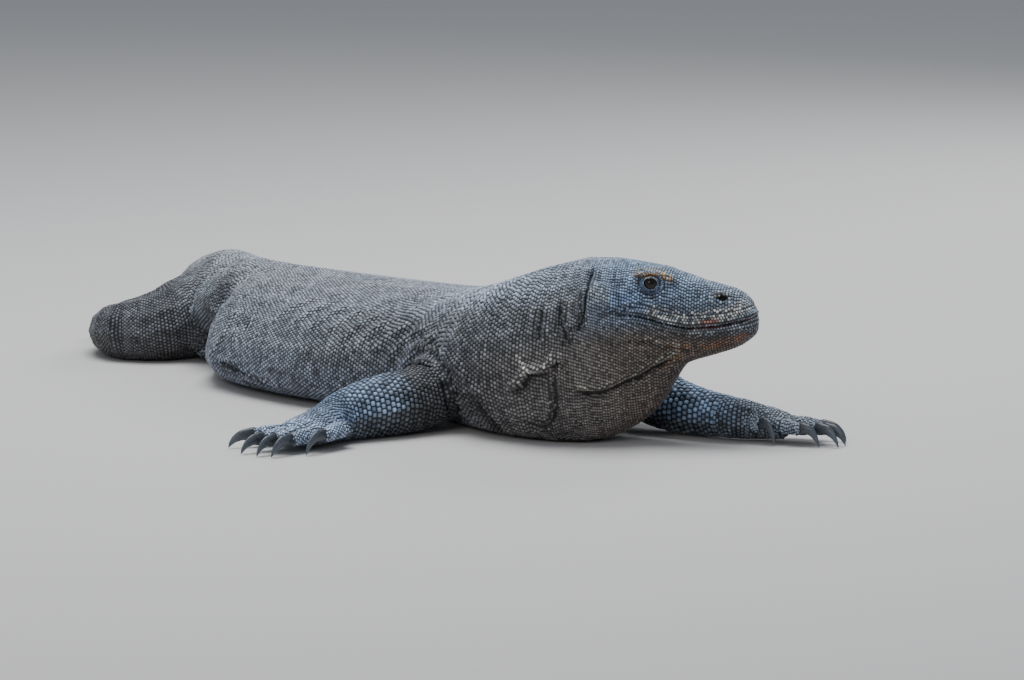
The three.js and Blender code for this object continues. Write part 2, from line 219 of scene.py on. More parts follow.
def layOutSpine():
    step = bodyPath["step"]
    count = int(round(bodyPath["length"] / step))
    middle = (np.arange(count) + 0.5) * step / mm
    angle = np.radians(curveThrough(bodyPath["facing"], middle)[:, 0])
    back = -step * np.stack([np.cos(angle), np.sin(angle)], 1)
    points = np.vstack([np.zeros(2), np.cumsum(back, 0)]) + np.array(bodyPath["snoutTip"])
    return np.arange(count + 1) * step, points


spineDistance, spinePlan = layOutSpine()


def spineAt(d):
    # plan position, forward and left of the spine at distances d in metres
    d = np.atleast_1d(d)
    angle = np.radians(curveThrough(bodyPath["facing"], d / mm)[:, 0])
    x = np.interp(d, spineDistance, spinePlan[:, 0])
    y = np.interp(d, spineDistance, spinePlan[:, 1])
    zero = np.zeros_like(x)
    place = np.stack([x, y, zero], 1)
    forward = np.stack([np.cos(angle), np.sin(angle), zero], 1)
    left = np.stack([-np.sin(angle), np.cos(angle), zero], 1)
    return place, forward, left


headBack = 0.200   # the back of the head, behind the snout tip
headPlace, headForward, headLeft = (v[0] for v in spineAt(headBack))
upward = np.array([0.0, 0.0, 1.0])


def headPoint(forward, left, height):
    # mm ahead of the back of the head, mm to the left, mm above the floor
    return headPlace + mm * (forward * headForward + left * headLeft + height * upward)


def headFrame(points):
    # the other way round: metres in, mm out
    away = points - headPlace
    return np.stack([away @ headForward, away @ headLeft, points[:, 2]], 1) / mm


frameShift = np.array([83.833, 388.416, 0.0])  # from the drawing's own origin to the frame's

# rows: x, y, height of the middle, half width and half height, mm, from inside the body to the
# knuckles. digits: knuckle x, y and height, heading in degrees, flesh length and claw length.
limbs = {
    "front_right": {
        "rows": [
            (-40, -645, 84, 46, 50), (-66, -682, 66, 46, 48), (-94, -722, 47, 43, 43),
            (-120, -750, 38, 39, 40), (-158, -780, 36, 36, 38), (-206, -815, 29, 28, 30),
            (-226, -838, 22, 31, 22), (-248, -862, 19, 34, 18), (-258, -872, 16, 30, 14),
        ],
        "thick": 10,
        "digits": [
            (-202, -866, 22, -125, 36, 34), (-238, -884, 19, -130, 36, 33),
            (-253, -878, 18, -132, 40, 30), (-267, -868, 17, -139, 38, 31),
            (-279, -848, 16, -162, 30, 30),
        ],
    },
    "front_left": {
        "rows": [
            (70, -640, 84, 44, 50), (112, -672, 66, 42, 46), (160, -720, 46, 38, 38),
            (200, -756, 32, 32, 33), (238, -786, 28, 28, 28), (278, -808, 25, 25, 25),
            (298, -808, 22, 26, 22), (320, -815, 19, 30, 18), (330, -819, 16, 27, 14),
        ],
        "thick": 9.5,
        "digits": [
            (283, -818, 27, -50, 21, 24), (322, -838, 22, -32, 26, 23),
            (337, -828, 22, -39, 34, 30), (344, -816, 20, -38, 38, 28),
            (342, -800, 19, -24, 34, 28),
        ],
    },
    "hind_right": {
        "rows": [
            (-362, -116, 68, 58, 48), (-408, -146, 62, 54, 54), (-460, -166, 43, 50, 48),
            (-502, -162, 37, 42, 41), (-524, -116, 31, 35, 33), (-524, -66, 24, 28, 26),
            (-518, -32, 18, 26, 18), (-512, 2, 14, 28, 14), (-510, 14, 12, 25, 12),
        ],
        "thick": 9,
        "digits": [
            (-492, 8, 12, 62, 34, 24), (-500, 16, 12, 76, 44, 25), (-510, 20, 12, 90, 52, 26),
            (-520, 16, 12, 103, 56, 26), (-532, -26, 12, 128, 34, 22),
        ],
    },
    "hind_left": {
        "rows": [
            (-362, -100, 68, 52, 48), (-318, -114, 58, 50, 48), (-262, -128, 44, 46, 44),
            (-205, -134, 36, 40, 38), (-166, -126, 30, 32, 31), (-132, -115, 23, 25, 24),
            (-112, -118, 18, 24, 18), (-96, -130, 14, 27, 14), (-90, -137, 12, 25, 12),
        ],
        "thick": 9,
        "digits": [
            (-104, -146, 12, -82, 30, 22), (-95, -148, 12, -68, 38, 24),
            (-88, -144, 12, -55, 42, 24), (-80, -136, 12, -42, 44, 24),
            (-100, -114, 12, -10, 30, 20),
        ],
    },
}


def smoothPath(rows, count):
    # rows of x, y, z, half width, half height in mm to evenly spread rings in metres
    rows = np.asarray(rows, float)
    rows[:, :3] += frameShift
    steps = np.linalg.norm(np.diff(rows[:, :3], axis=0), axis=1)
    reach = np.concatenate([[0], np.cumsum(steps)])
    full = np.column_stack([reach, rows])
    t = np.linspace(0, reach[-1], count)
    return curveThrough(full, t) * mm


def digitRows(digit, thick):
    x, y, height, heading, flesh, claw = digit
    c, s = math.cos(math.radians(heading)), math.sin(math.radians(heading))

    def row(reach, level, halfWidth, halfHeight):
        return (x + reach * c, y + reach * s, level, halfWidth * thick, halfHeight * thick)

    toe = [
        row(-0.35 * flesh, height, 1.15, 1.1), row(0.1 * flesh, height, 1.12, 1.12),
        row(0.5 * flesh, height * 0.95, 1, 1), row(0.82 * flesh, height * 0.92, 1, 1.02),
        row(flesh, height * 0.84, 0.84, 0.86),
    ]
    root = height * 0.88
    nail = [
        row(flesh - 5, root, 0.5, 0.66), row(flesh, root * 1.02, 0.56, 0.76),
        row(flesh + 0.35 * claw, root * 1.02, 0.47, 0.62),
        row(flesh + 0.7 * claw, root * 0.76, 0.33, 0.43),
        row(flesh + 0.92 * claw, root * 0.34, 0.18, 0.21), row(flesh + claw, 0.8, 0.05, 0.06),
    ]
    return toe, nail


skinMake = {
    "voxel": 0.0030,
    "inset": 0.0009,
    "lowest": 0.0004,       # height of the skin where it rests
    "passes": 90,
    "spreadPasses": 8,
    # how strongly each part is smoothed, against the trunk
    "smoothing": {"head": 0.10, "lower_jaw": 0.12, "neck": 0.8, "trunk": 1.0, "tail": 0.55,
                  "upper_leg": 0.6, "lower_leg": 0.30, "foot": 0.045, "eye": 0.10},
    "mostTriangles": 190000,
    # finer faces on the head: ahead of this, within this of its middle, above this, mm
    "headBox": (-25, 90, 55),
    "headFade": ((-30, -10), (45, 60)),
    # finer still round eye and nose: ahead, height, half length and half height of a box, mm
    "eyeBox": (76, 194, 24, 20),
    "eyeOut": 24,
    "noseBox": (160, 178, 11, 9),
    "lipBand": 5,
    "lipEnd": 38,
    "fineFade": (20, 40),
}

# side view of the mouth: mm ahead of the back of the head, and height
mouthLine = [
    (199, 154), (180, 150), (158, 145.5), (136, 144), (122, 143), (111, 145), (97, 148),
    (77, 154), (61, 158), (41, 160.5),
]


def meshArrays(mesh):
    return readField(mesh.vertices, "co", 3), readField(mesh.edges, "vertices", 2, np.int32)


def setPoints(mesh, points):
    mesh.vertices.foreach_set("co", points.astype(np.float32).ravel())
    mesh.update()


def meshNormals(mesh):
    return readField(mesh.vertex_normals, "vector", 3)


def relax(points, edges, passes, weight, keep=-0.53, pull=0.5):
    # alternating shrink and swell, so that facets go and the size stays
    a, b = edges[:, 0], edges[:, 1]
    n = len(points)
    share = 1.0 / np.maximum(np.bincount(a, minlength=n) + np.bincount(b, minlength=n), 1)
    w = (weight * share)[:, None]
    for _ in range(passes):
        for factor in (pull, keep):
            total = np.stack([
                np.bincount(a, points[b, c], n) + np.bincount(b, points[a, c], n) for c in range(3)
            ], 1)
            points = points + factor * w * (total - points / share[:, None])
    return points


def spreadWeight(weight, edges, passes):
    a, b = edges[:, 0], edges[:, 1]
    n = len(weight)
    count = np.maximum(np.bincount(a, minlength=n) + np.bincount(b, minlength=n), 1)
    for _ in range(passes):
        around = (np.bincount(a, weight[b], n) + np.bincount(b, weight[a], n)) / count
        weight = 0.5 * weight + 0.5 * around
    return weight


def mouthFiller():
    # a thin slab that closes the gap between the jaws, so that the skin runs over it
    below, above, inside = -2.6, 1.6, 0.93
    verts, faces = [], []
    for forward, height in mouthLine[1:-1]:
        half = curveThrough(bodyPath["sections"], headBack / mm - forward)[0, 0] * inside
        for left, lift in ((-half, below), (half, below), (half, above), (-half, above)):
            verts.append(headPoint(forward, left, height + lift))
    count = len(verts) // 4
    for r in range(count - 1):
        for k in range(4):
            a, b = 4 * r + k, 4 * r + (k + 1) % 4
            faces.append((a, b, b + 4, a + 4))
    faces.append((3, 2, 1, 0))
    faces.append(tuple(4 * (count - 1) + k for k in range(4)))
    mesh = bpy.data.meshes.new("mouthFiller")
    mesh.from_pydata([tuple(v) for v in verts], [], faces)
    return mesh


def partOf(name):
    for part in ("upper_leg", "lower_leg", "foot", "tail", "eye"):
        if part in name:
            return part
    return name


def makeSkinBase():
    whole = bmesh.new()
    sources = []
    for name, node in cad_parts.items():
        if "claw" in name:
            continue
        whole.from_mesh(node.data)
        sources.append((name, len(whole.faces)))
    cadTree = BVHTree.FromBMesh(whole)
    faceEnds = np.array([end for _, end in sources])
    whole.from_mesh(mouthFiller())
    bmesh.ops.remove_doubles(whole, verts=whole.verts, dist=1e-6)
    bmesh.ops.recalc_face_normals(whole, faces=whole.faces)
    mesh = bpy.data.meshes.new("skinSource")
    whole.to_mesh(mesh)
    whole.free()
    holder = addObject("skinSource", mesh)
    remesh = holder.modifiers.new("remesh", "REMESH")
    remesh.mode = "VOXEL"
    remesh.voxel_size = skinMake["voxel"] * 1.0
    remesh.adaptivity = 0.0
    skin = evaluated(holder)
    bpy.data.objects.remove(holder)
    points, edges = meshArrays(skin)
    names = [partOf(name) for name, _ in sources]
    strength = np.array([skinMake["smoothing"][part] for part in names])
    weight = np.empty(len(points))
    for i, p in enumerate(points):
        weight[i] = strength[np.searchsorted(faceEnds, cadTree.find_nearest(p)[2], side="right")]
    weight = spreadWeight(weight, edges, skinMake["spreadPasses"])
    points = relax(points, edges, skinMake["passes"], weight)
    setPoints(skin, points)
    points = points - meshNormals(skin) * skinMake["inset"]
    points[:, 2] = np.maximum(points[:, 2], skinMake["lowest"])
    setPoints(skin, points)
    return skin


def skinTree(mesh):
    shape = bmesh.new()
    shape.from_mesh(mesh)
    tree = BVHTree.FromBMesh(shape)
    shape.free()
    return tree


def refine(mesh, chosen):
    # splits the chosen faces in four
    shape = bmesh.new()
    shape.from_mesh(mesh)
    shape.faces.ensure_lookup_table()
    edges = {edge for index in np.nonzero(chosen)[0] for edge in shape.faces[index].edges}
    bmesh.ops.subdivide_edges(shape, edges=list(edges), cuts=1, use_grid_fill=True)
    bmesh.ops.triangulate(shape, faces=[f for f in shape.faces if len(f.verts) > 4])
    shape.to_mesh(mesh)
    shape.free()


def faceCentres(mesh):
    return readField(mesh.polygons, "center", 3)


def onSkin(px, py, tree):
    ray = viewRay(px, py)
    place, _, _, _ = tree.ray_cast(camera.location, ray)
    return None if place is None else np.array(place)


def traceOnSkin(pixels, tree, step=0.004):
    # a line of picture points laid on the skin, with points about a step apart
    flat = np.array(pixels, float)
    reach = np.concatenate([[0], np.cumsum(np.linalg.norm(np.diff(flat, axis=0), axis=1))])
    count = max(2, int(reach[-1] / 3) + 1)   # every 3 pixels or so
    dense = curveThrough(np.column_stack([reach, flat]), np.linspace(0, reach[-1], count))
    hits = [onSkin(px, py, tree) for px, py in dense]
    hits = np.array([h for h in hits if h is not None])
    return evenPath(hits, step)


def evenPath(points, step):
    lengths = np.linalg.norm(np.diff(points, axis=0), axis=1)
    reach = np.concatenate([[0], np.cumsum(lengths)])
    count = max(3, int(reach[-1] / step) + 1)
    rows = np.column_stack([reach, points])
    rows = rows[np.concatenate([[True], np.diff(reach) > 1e-6])]
    return curveThrough(rows, np.linspace(0, reach[-1], count))


def besideSpine(points, furthest=bodyPath["length"] + 1):
    # distance behind the snout tip, up to a furthest one, and metres to the left of the spine
    reach = spineDistance[::3]
    reach = reach[reach <= furthest]
    away = points[:, None, :2] - spinePlan[None, ::3][:, :len(reach)]
    near = np.argmin((away ** 2).sum(2), 1)
    d = reach[near]
    place, _, left = spineAt(d)
    return d, ((points - place) * left).sum(1)


def otherSide(path, tree):
    # the same line on the other side of the animal
    d, lateral = besideSpine(path)
    place, _, left = spineAt(d)
    flipped = place - lateral[:, None] * left
    flipped[:, 2] = path[:, 2]
    return np.array([np.array(tree.find_nearest(p)[0]) for p in flipped])


def nearPath(points, path, reach):
    # indices of the points within reach of the path, their distance and the step away from it
    low, high = path.min(0) - reach, path.max(0) + reach
    index = np.nonzero(np.all((points > low) & (points < high), 1))[0]
    if not len(index):
        return index, np.zeros(0), np.zeros((0, 3)), np.zeros(0)
    chosen = points[index]
    best = np.full(len(index), 1e9)
    step = np.zeros((len(index), 3))
    along = np.zeros(len(index))
    for k in range(len(path) - 1):
        a, b = path[k], path[k + 1]
        ab = b - a
        t = np.clip(((chosen - a) @ ab) / (ab @ ab), 0, 1)
        away = chosen - a - t[:, None] * ab
        distance = np.linalg.norm(away, axis=1)
        closer = distance < best
        best[closer] = distance[closer]
        step[closer] = away[closer]
        along[closer] = (k + t[closer]) / (len(path) - 1)
    keep = best < reach
    return index[keep], best[keep], step[keep], along[keep]


def fadeEnds(along, share=0.18):
    return smoothStep(along, 0.0, share) * smoothStep(1 - along, 0.0, share)


foldShape = {
    # against the fold's width: its reach, and the place and width of its lip
    "reach": 4.5,
    "lipPlace": 1.9,
    "lipWidth": 1.1,
    "lipSide": (-0.3, 0.6),
    "darkWidth": 1.1,
    # the painted fold shading is a number from -1, a painted highlight on a ridge, to 1, painted shade at the
    # bottom of a groove
    "darkDepth": 0.0045,
    "paleHeight": 0.009,
    "seen": 0.12,
    "palest": -0.85,
    "darkest": 0.9,
}


def foldLine(points, normals, path, width, depth, lip=0.0, side=None, share=0.18, foldShading=None):
    # moves the points near a path: a groove of that depth, with a raised lip beside it
    index, distance, step, along = nearPath(points, path, foldShape["reach"] * width)
    if not len(index):
        return
    groove = -depth * np.exp(-(distance / width) ** 2)
    lipPlace, lipWidth = (foldShape[key] * width for key in ("lipPlace", "lipWidth"))
    lipShape = lip * np.exp(-((distance - lipPlace) / lipWidth) ** 2)
    if side is not None:
        near, far = (edge * width for edge in foldShape["lipSide"])
        lipShape = lipShape * smoothStep(step @ np.asarray(side, float), near, far)
    move = (groove + lipShape) * fadeEnds(along, share)
    # painted shade along the groove and a painted highlight where the skin is raised
    if foldShading is not None:
        dark = np.exp(-(distance / (foldShape["darkWidth"] * width)) ** 2) * fadeEnds(along, share)
        dark = dark * min(foldShape["darkest"], depth / foldShape["darkDepth"])
        pale = -np.maximum(move, 0) / foldShape["paleHeight"]
        old = foldShading[index]
        lighter = np.where(old <= 0, np.minimum(old, pale), old)
        foldShading[index] = np.where(dark > foldShape["seen"], np.maximum(old, dark), lighter)
    points[index] += normals[index] * move[:, None]


def softBump(points, normals, centre, axes, height):
    # axes: three vectors, each as long as the bump reaches that way
    away = points - centre
    index = np.nonzero((np.abs(away) < 3 * np.abs(axes).sum(0) + 1e-4).all(1))[0]
    share = np.stack([away[index] @ axis / (axis @ axis) for axis in axes], 1)
    move = height * np.exp(-(share ** 2).sum(1))
    points[index] += normals[index] * move[:, None]


# places on the head are mm ahead of its back and mm above the floor
headShape = {
    "eyePlace": (76, 33, 195),   # ahead, to the side, height
    "eyeRadius": 10.5,
    "eyeOpening": (7.7, 6.9),    # half length and half height
    "upperLid": 0.82,            # how far each lid is open, against the half height
    "lowerLid": 1.05,
    "lidThickness": 1.0,
    "eyeSunk": 2.6,              # the skin behind the ball lies that deep
    # height of a ring round the opening, then its place and width against the opening
    "lidRim": (1.1, 1.18, 0.16),
    "lidHollow": (-1.5, 1.62, 0.22),
    "lidEdge": (1.45, 2.35),
    "nostril": (160.5, 178),
    "nostrilSize": (5.9, 4.1),
    "nostrilDepth": 6.5,
    "nostrilRim": 0.9,
    # swellings and hollows: place, how far they reach forward, sideways and up, and height
    "swells": [
        ((18, 172), (22, 14, 16), 2.2), ((46, 176), (12, 14, 9), -2.6), ((104, 188), (18, 14, 8), -2.4),
        ((128, 172), (24, 14, 7), -0.8), ((159.5, 179), (13, 12, 9), 2.6),
    ],
    "brow": [(50, 197), (60, 202.5), (72, 204.5), (86, 203), (98, 198), (108, 192)],
    "browSize": (3.6, -2.3),     # width and depth: a ridge
    "lipLine": [(64, 164), (84, 160), (104, 158), (124, 158.5), (142, 161), (154, 165)],
    "lipLineSize": (1.5, 0.8, 0.5),
    "lidFolds": [(72, 184.5), (74, 181.0), (76, 177.5)],   # lowest point of each
    "lidFoldSize": (1.1, 0.75, 0.4),
    "mouthDepth": 3.6,
    "mouthWidth": 1.15,
    # height of each lip, its distance from the mouth and its width
    "upperLip": (1.3, 3.6, 3.0),
    "lowerLip": (0.7, -3.4, 2.4),
    "mouthReach": 12,
    "mouthFade": (36, 60),
    "mouthWiden": (0.95, 135, 190),
}


def sidePoint(tree, forward, height, side):
    # the skin at a place seen square from the side
    start = Vector(headPoint(forward, 0, height))
    place, _, _, _ = tree.ray_cast(start, Vector(headLeft * side))
    return np.array(place) if place is not None else headPoint(forward, 30 * side, height)


def mouthPath(tree):
    # from the right corner round the front of the snout to the left corner
    right = [sidePoint(tree, u, z, -1) for u, z in reversed(mouthLine[1:])]
    left = [sidePoint(tree, u, z, 1) for u, z in mouthLine[1:]]
    front, _, _, _ = tree.ray_cast(Vector(headPoint(150, 0, 155)), Vector(headForward))
    return evenPath(np.array(right + [np.array(front)] + left), 0.003)


def eyeCentre(side):
    forward, out, height = headShape["eyePlace"]
    return headPoint(forward, out * side, height)


def eyeAxes(side):
    # forward, up and out of the socket: the eye looks a little forward and up
    out = unit(headLeft * side + 0.10 * headForward + 0.10 * upward)
    forward = unit(headForward - (headForward @ out) * out)
    up = np.cross(forward, out) * -side
    return forward, up if up[2] > 0 else -up, out


def openingShare(ahead, up):
    # place on the eye's disc against the opening of the lids: 1 is its edge
    halfLength, halfHeight = (v * mm for v in headShape["eyeOpening"])
    halfHeight = np.where(up > 0, halfHeight * headShape["upperLid"], halfHeight * headShape["lowerLid"])
    return np.sqrt((ahead / halfLength) ** 2 + (up / halfHeight) ** 2)


def shapeEye(points, side):
    centre = eyeCentre(side)
    forward, up, out = eyeAxes(side)
    radius = headShape["eyeRadius"] * mm
    away = points - centre
    a, b, c = away @ forward, away @ up, away @ out
    index = np.nonzero((np.abs(a) < 0.026) & (np.abs(b) < 0.022) & (c > -0.004))[0]
    a, b, c = a[index], b[index], c[index]
    q = openingShare(a, b)
    ball = np.sqrt(np.maximum(radius ** 2 - np.minimum(a * a + b * b, (0.97 * radius) ** 2), 0))
    lid = ball + headShape["lidThickness"] * mm
    sunk = headShape["eyeSunk"] * mm
    rim, hollow = (height * mm * np.exp(-((q - place) / width) ** 2)
                   for height, place, width in (headShape["lidRim"], headShape["lidHollow"]))
    target = np.where(q < 1.0, ball - sunk, lid) + rim * (q > 0.98) + hollow
    target = np.where(q < 1.0, np.minimum(target, ball - sunk * smoothStep(1.0 - q, 0.0, 0.10)), target)
    blend = 1 - smoothStep(q, *headShape["lidEdge"])
    points[index] += out * ((target - c) * blend)[:, None]


def sideLine(tree, line, side, step):
    return evenPath(np.array([sidePoint(tree, forward, height, side) for forward, height in line]), step)


def shapeNostril(points, normals, tree, side):
    place = sidePoint(tree, *headShape["nostril"], side)
    outward = np.array(tree.find_nearest(Vector(place))[1])
    inFront = unit(headForward - (headForward @ outward) * outward)
    inHeight = np.cross(outward, inFront)
    away = points - place
    a, b = away @ inFront, away @ inHeight
    halfLength, halfHeight = (v * mm for v in headShape["nostrilSize"])
    close = np.linalg.norm(away, axis=1) < 14 * mm
    q = np.sqrt((a / halfLength) ** 2 + (b / halfHeight) ** 2)
    hole = -headShape["nostrilDepth"] * mm * (1 - smoothStep(q, 0.75, 1.2))
    move = hole + headShape["nostrilRim"] * mm * np.exp(-((q - 1.6) / 0.4) ** 2)
    points[close] += normals[close] * move[close][:, None]


def shapeMouth(points, normals, mouth):
    index, distance, step, _ = nearPath(points, mouth, headShape["mouthReach"] * mm)
    forward = headFrame(points[index])[:, 0]
    more, start, end = headShape["mouthWiden"]
    wide = headShape["mouthWidth"] * mm * (1 + more * smoothStep(forward, start, end))
    rise = step[:, 2]
    groove = -headShape["mouthDepth"] * mm * np.exp(-(distance / wide) ** 2)
    upperLip, lowerLip = (height * mm * np.exp(-((rise - place * mm) / (width * mm)) ** 2)
                          for height, place, width in (headShape["upperLip"], headShape["lowerLip"]))
    lips = upperLip * (rise > -0.001) + lowerLip * (rise < 0.001)
    fade = smoothStep(forward, *headShape["mouthFade"])
    points[index] += normals[index] * ((groove + lips) * fade)[:, None]


def shapeHead(mesh, tree):
    points, _ = meshArrays(mesh)
    normals = meshNormals(mesh)
    for side in (-1, 1):
        ways = np.array([headForward, headLeft * side, upward])
        for (forward, height), reach, swell in headShape["swells"]:
            place = sidePoint(tree, forward, height, side)
            softBump(points, normals, place, ways * np.array(reach)[:, None] * mm, swell * mm)
        foldLine(points, normals, sideLine(tree, headShape["brow"], side, 0.003),
                 *(size * mm for size in headShape["browSize"]))
    setPoints(mesh, points)
    tree = skinTree(mesh)
    points, _ = meshArrays(mesh)
    normals = meshNormals(mesh)
    for side in (-1, 1):
        shapeNostril(points, normals, tree, side)
        foldLine(points, normals, sideLine(tree, headShape["lipLine"], side, 0.003),
                 *(size * mm for size in headShape["lipLineSize"]))
        for k, (x, y) in enumerate(headShape["lidFolds"]):
            half = 15 - 2 * k
            arc = [(x - half, y + 4.5), (x - 8, y + 1), (x, y), (x + 8, y + 1.2), (x + half, y + 5)]
            foldLine(points, normals, sideLine(tree, arc, side, 0.002),
                     *(size * mm for size in headShape["lidFoldSize"]))
        shapeEye(points, side)
    mouth = mouthPath(tree)
    shapeMouth(points, normals, mouth)
    setPoints(mesh, points)
    return mouth


# folds of loose skin. Each line is in picture points on the near side; width, depth and lip are
# in mm. A negative depth makes a ridge. side is where the lip stands; both: the far side has the
# same fold; dark: False leaves the colour alone, otherwise the fold lays painted shade along its
# groove and a painted highlight on its raised skin.
foldLines = {
    "earFold": {
        "line": [(596, 264), (592, 274), (588, 286), (586, 297), (585, 308), (583, 317), (578, 328),
                 (573, 338)],
        "width": 3.4, "depth": 5.6, "lip": 2.4, "side": (1, 0, 0), "both": True,
    },
    "gularFold": {
        "line": [(566, 388), (578, 392), (590, 393.5), (604, 392), (616, 387), (628, 381), (641, 376),
                 (652, 369), (663, 364), (673, 359), (683, 355)],
        "width": 3.8, "depth": 5.0, "lip": 3.8, "side": (0, 0, 1), "both": True,
    },
    "neckLump": {
        "line": [(505, 385), (514, 384), (521, 378), (526, 369), (536, 368), (546, 367), (552, 357),
                 (566, 355)],
        "width": 6.0, "depth": -8.5,
    },
    "neckLumpUnder": {
        "line": [(508, 390), (520, 389), (527, 380), (532, 373), (545, 373), (554, 365), (566, 361)],
        "width": 4.5, "depth": 6.5,
    },
    "chestFold": {
        "line": [(553, 365), (555, 380), (556, 395), (557, 408), (553, 420), (543, 427), (530, 423),
                 (512, 418)],
        "width": 3.6, "depth": 3.8, "lip": 3.0, "side": (-1, 0, 0.5),
    },
    "neckCrease": {
        "line": [(541, 303), (541, 315), (539, 330), (537, 345)],
        "width": 4.4, "depth": 3.8, "lip": 2.4, "both": True,
    },
    "neckCreaseBack": {
        "line": [(562, 300), (560, 318), (566, 336), (572, 350)],
        "width": 4.0, "depth": 3.4, "lip": 2.4, "both": True,
    },
    "jawFold": {
        "line": [(604, 345), (622, 343), (640, 342), (660, 345), (678, 348), (694, 350)],
        "width": 2.4, "depth": 1.3, "lip": 1.0, "side": (0, 0, -1), "both": True,
    },
    "jawFoldUpper": {
        "line": [(612, 322), (632, 328), (652, 335), (672, 338)],
        "width": 2.0, "depth": 0.8, "lip": 0.6, "side": (0, 0, -1), "both": True,
    },
    "mouthCorner": {
        "line": [(600, 318), (612, 310), (628, 307.5), (645, 308.5), (660, 312)],
        "width": 1.8, "depth": 1.1, "lip": 0.9, "side": (0, 0, 1), "both": True,
    },
    "shoulderArch": {
        "line": [(398, 362), (407, 352), (420, 347), (434, 350), (446, 357), (458, 367), (470, 381),
                 (480, 397), (489, 415)],
        "width": 5.0, "depth": -3.6,
    },
    "shoulderSlit": {
        "line": [(406, 368), (413, 364), (421, 363), (430, 366), (437, 371)],
        "width": 3.0, "depth": 7.0, "lip": 1.5, "side": (0, 0, 1),
    },
    "armCrease": {
        "line": [(436, 372), (443, 385), (446, 400), (450, 416)],
        "width": 3.5, "depth": 2.4, "lip": 1.2,
    },
    "chestHollow": {
        "line": [(474, 398), (482, 410), (492, 422), (502, 434)],
        "width": 5.0, "depth": 6.0,
    },
    "groinHollow": {
        "line": [(222, 284), (214, 300), (207, 316), (200, 333), (194, 350)],
        "width": 26, "depth": 31.0, "both": True, "dark": False,
    },
    "groinEdge": {
        "line": [(243, 300), (240, 308), (232, 322), (224, 337), (215, 350), (209, 360)],
        "width": 3.2, "depth": -3.4,
    },
    "groinRippleA": {
        "line": [(246, 306), (243, 318), (236, 332), (229, 345)],
        "width": 2.2, "depth": 1.8, "lip": 0.9,
    },
    "groinRippleB": {
        "line": [(253, 309), (250, 322), (243, 336)],
        "width": 2.4, "depth": 1.4, "lip": 0.8,
    },
    "pouchCrease": {
        "line": [(214, 361), (226, 364), (239, 371), (251, 378), (264, 383), (279, 387), (294, 390)],
        "width": 3.6, "depth": 5.0, "lip": 2.8, "side": (0, 0, 1),
    },
    "pouchCreaseLow": {
        "line": [(217, 368), (229, 372), (240, 378), (251, 384), (262, 388)],
        "width": 3.0, "depth": 2.6, "lip": 1.8, "side": (0, 0, 1),
    },
    "thighTop": {
        "line": [(192, 294), (202, 285), (208, 274), (216, 268), (230, 267), (242, 270)],
        "width": 4.0, "depth": 1.6, "lip": 1.8, "side": (0, 0, -1),
    },
    "napeWrinkleA": {
        "line": [(470, 292), (486, 289), (502, 291), (518, 295)],
        "width": 2.4, "depth": 1.0, "lip": 0.9, "both": True,
    },
    "napeWrinkleB": {
        "line": [(464, 300), (480, 297), (498, 299), (514, 304)],
        "width": 2.4, "depth": 1.0, "lip": 0.9, "both": True,
    },
    "napeWrinkleC": {
        "line": [(458, 308), (474, 305), (490, 308), (506, 313)],
        "width": 2.4, "depth": 0.9, "lip": 0.8, "both": True,
    },
}


ribRidges = {
    "height": 3.6,
    "width": 4.6,
    "endShare": 0.3,
    # painted highlight along each ridge and painted shadow beside it, laid into the scales' colour
    "ridgeHighlight": 0.60,
    "highlightWidth": 0.8,            # against the ridge's width
    "shadow": 0.40,
    "shadowPlace": (1.5, 0.6),   # how far from the ridge and how wide, against its width
    "count": 9,
    # the first and the last ridge, from the back down the flank
    "first": [(332, 296), (302, 305), (270, 323)],
    "last": [(452, 325), (424, 343), (396, 372)],
}


toeGroove = {
    "width": 3.0,
    "depth": 6.5,
    "endShare": 0.08,
    "between": 3.4,   # toes closer than that many of their thickness are parted by a groove
}


def toeGrooves(tree):
    # lines between neighbouring toes, laid on the skin from above
    grooves = []
    for limb in limbs.values():
        toes = [np.array(digitRows(digit, limb["thick"])[0][1:], float)[:, :3] for digit in limb["digits"]]
        for one, other in zip(toes[:-1], toes[1:]):
            middle = (0.5 * (one + other) + frameShift) * mm
            near = np.linalg.norm((one - other)[:, :2], axis=1) < toeGroove["between"] * limb["thick"]
            hits = [tree.ray_cast(Vector((p[0], p[1], 0.12)), Vector((0, 0, -1)))[0] for p in middle[near]]
            hits = np.array([tuple(h) for h in hits if h is not None and h.z > 0.002])
            if len(hits) > 1:
                grooves.append(evenPath(hits, 0.003))
    return grooves


def outsideThighs(points):
    # 0 on the thighs beyond their roots, 1 well off them
    free = np.ones(len(points))
    for name in ("hind_right", "hind_left"):
        path = smoothPath(limbs[name]["rows"], 60)
        index, distance, _, along = nearPath(points, path[:, :3], 0.09)
        half = np.interp(along, np.linspace(0, 1, len(path)), 0.5 * (path[:, 3] + path[:, 4]))
        onThigh = smoothStep(along, 0.10, 0.24) * (1 - smoothStep(distance / half, 1.0, 1.25))
        free[index] = np.minimum(free[index], 1 - onThigh)
    return free


def raiseRibs(points, normals, foldShading, tree):
    first, last = (np.array(ribRidges[key], float) for key in ("first", "last"))
    width, share = ribRidges["width"] * mm, ribRidges["endShare"]
    beside, spread = (v * width for v in ribRidges["shadowPlace"])
    for k in np.linspace(0, 1, ribRidges["count"]):
        path = traceOnSkin((1 - k) * first + k * last, tree)
        for run in (path, otherSide(path, tree)):
            index, distance, _, along = nearPath(points, run, 3 * width)
            # painted highlight on the ridge and painted shadow beside it
            pale = ribRidges["ridgeHighlight"] * np.exp(-(distance / (ribRidges["highlightWidth"] * width)) ** 2)
            dark = ribRidges["shadow"] * np.exp(-((distance - beside) / spread) ** 2)
            foldShading[index] += (dark - pale) * fadeEnds(along, share)
            foldLine(points, normals, run, width, -ribRidges["height"] * mm, share=share)


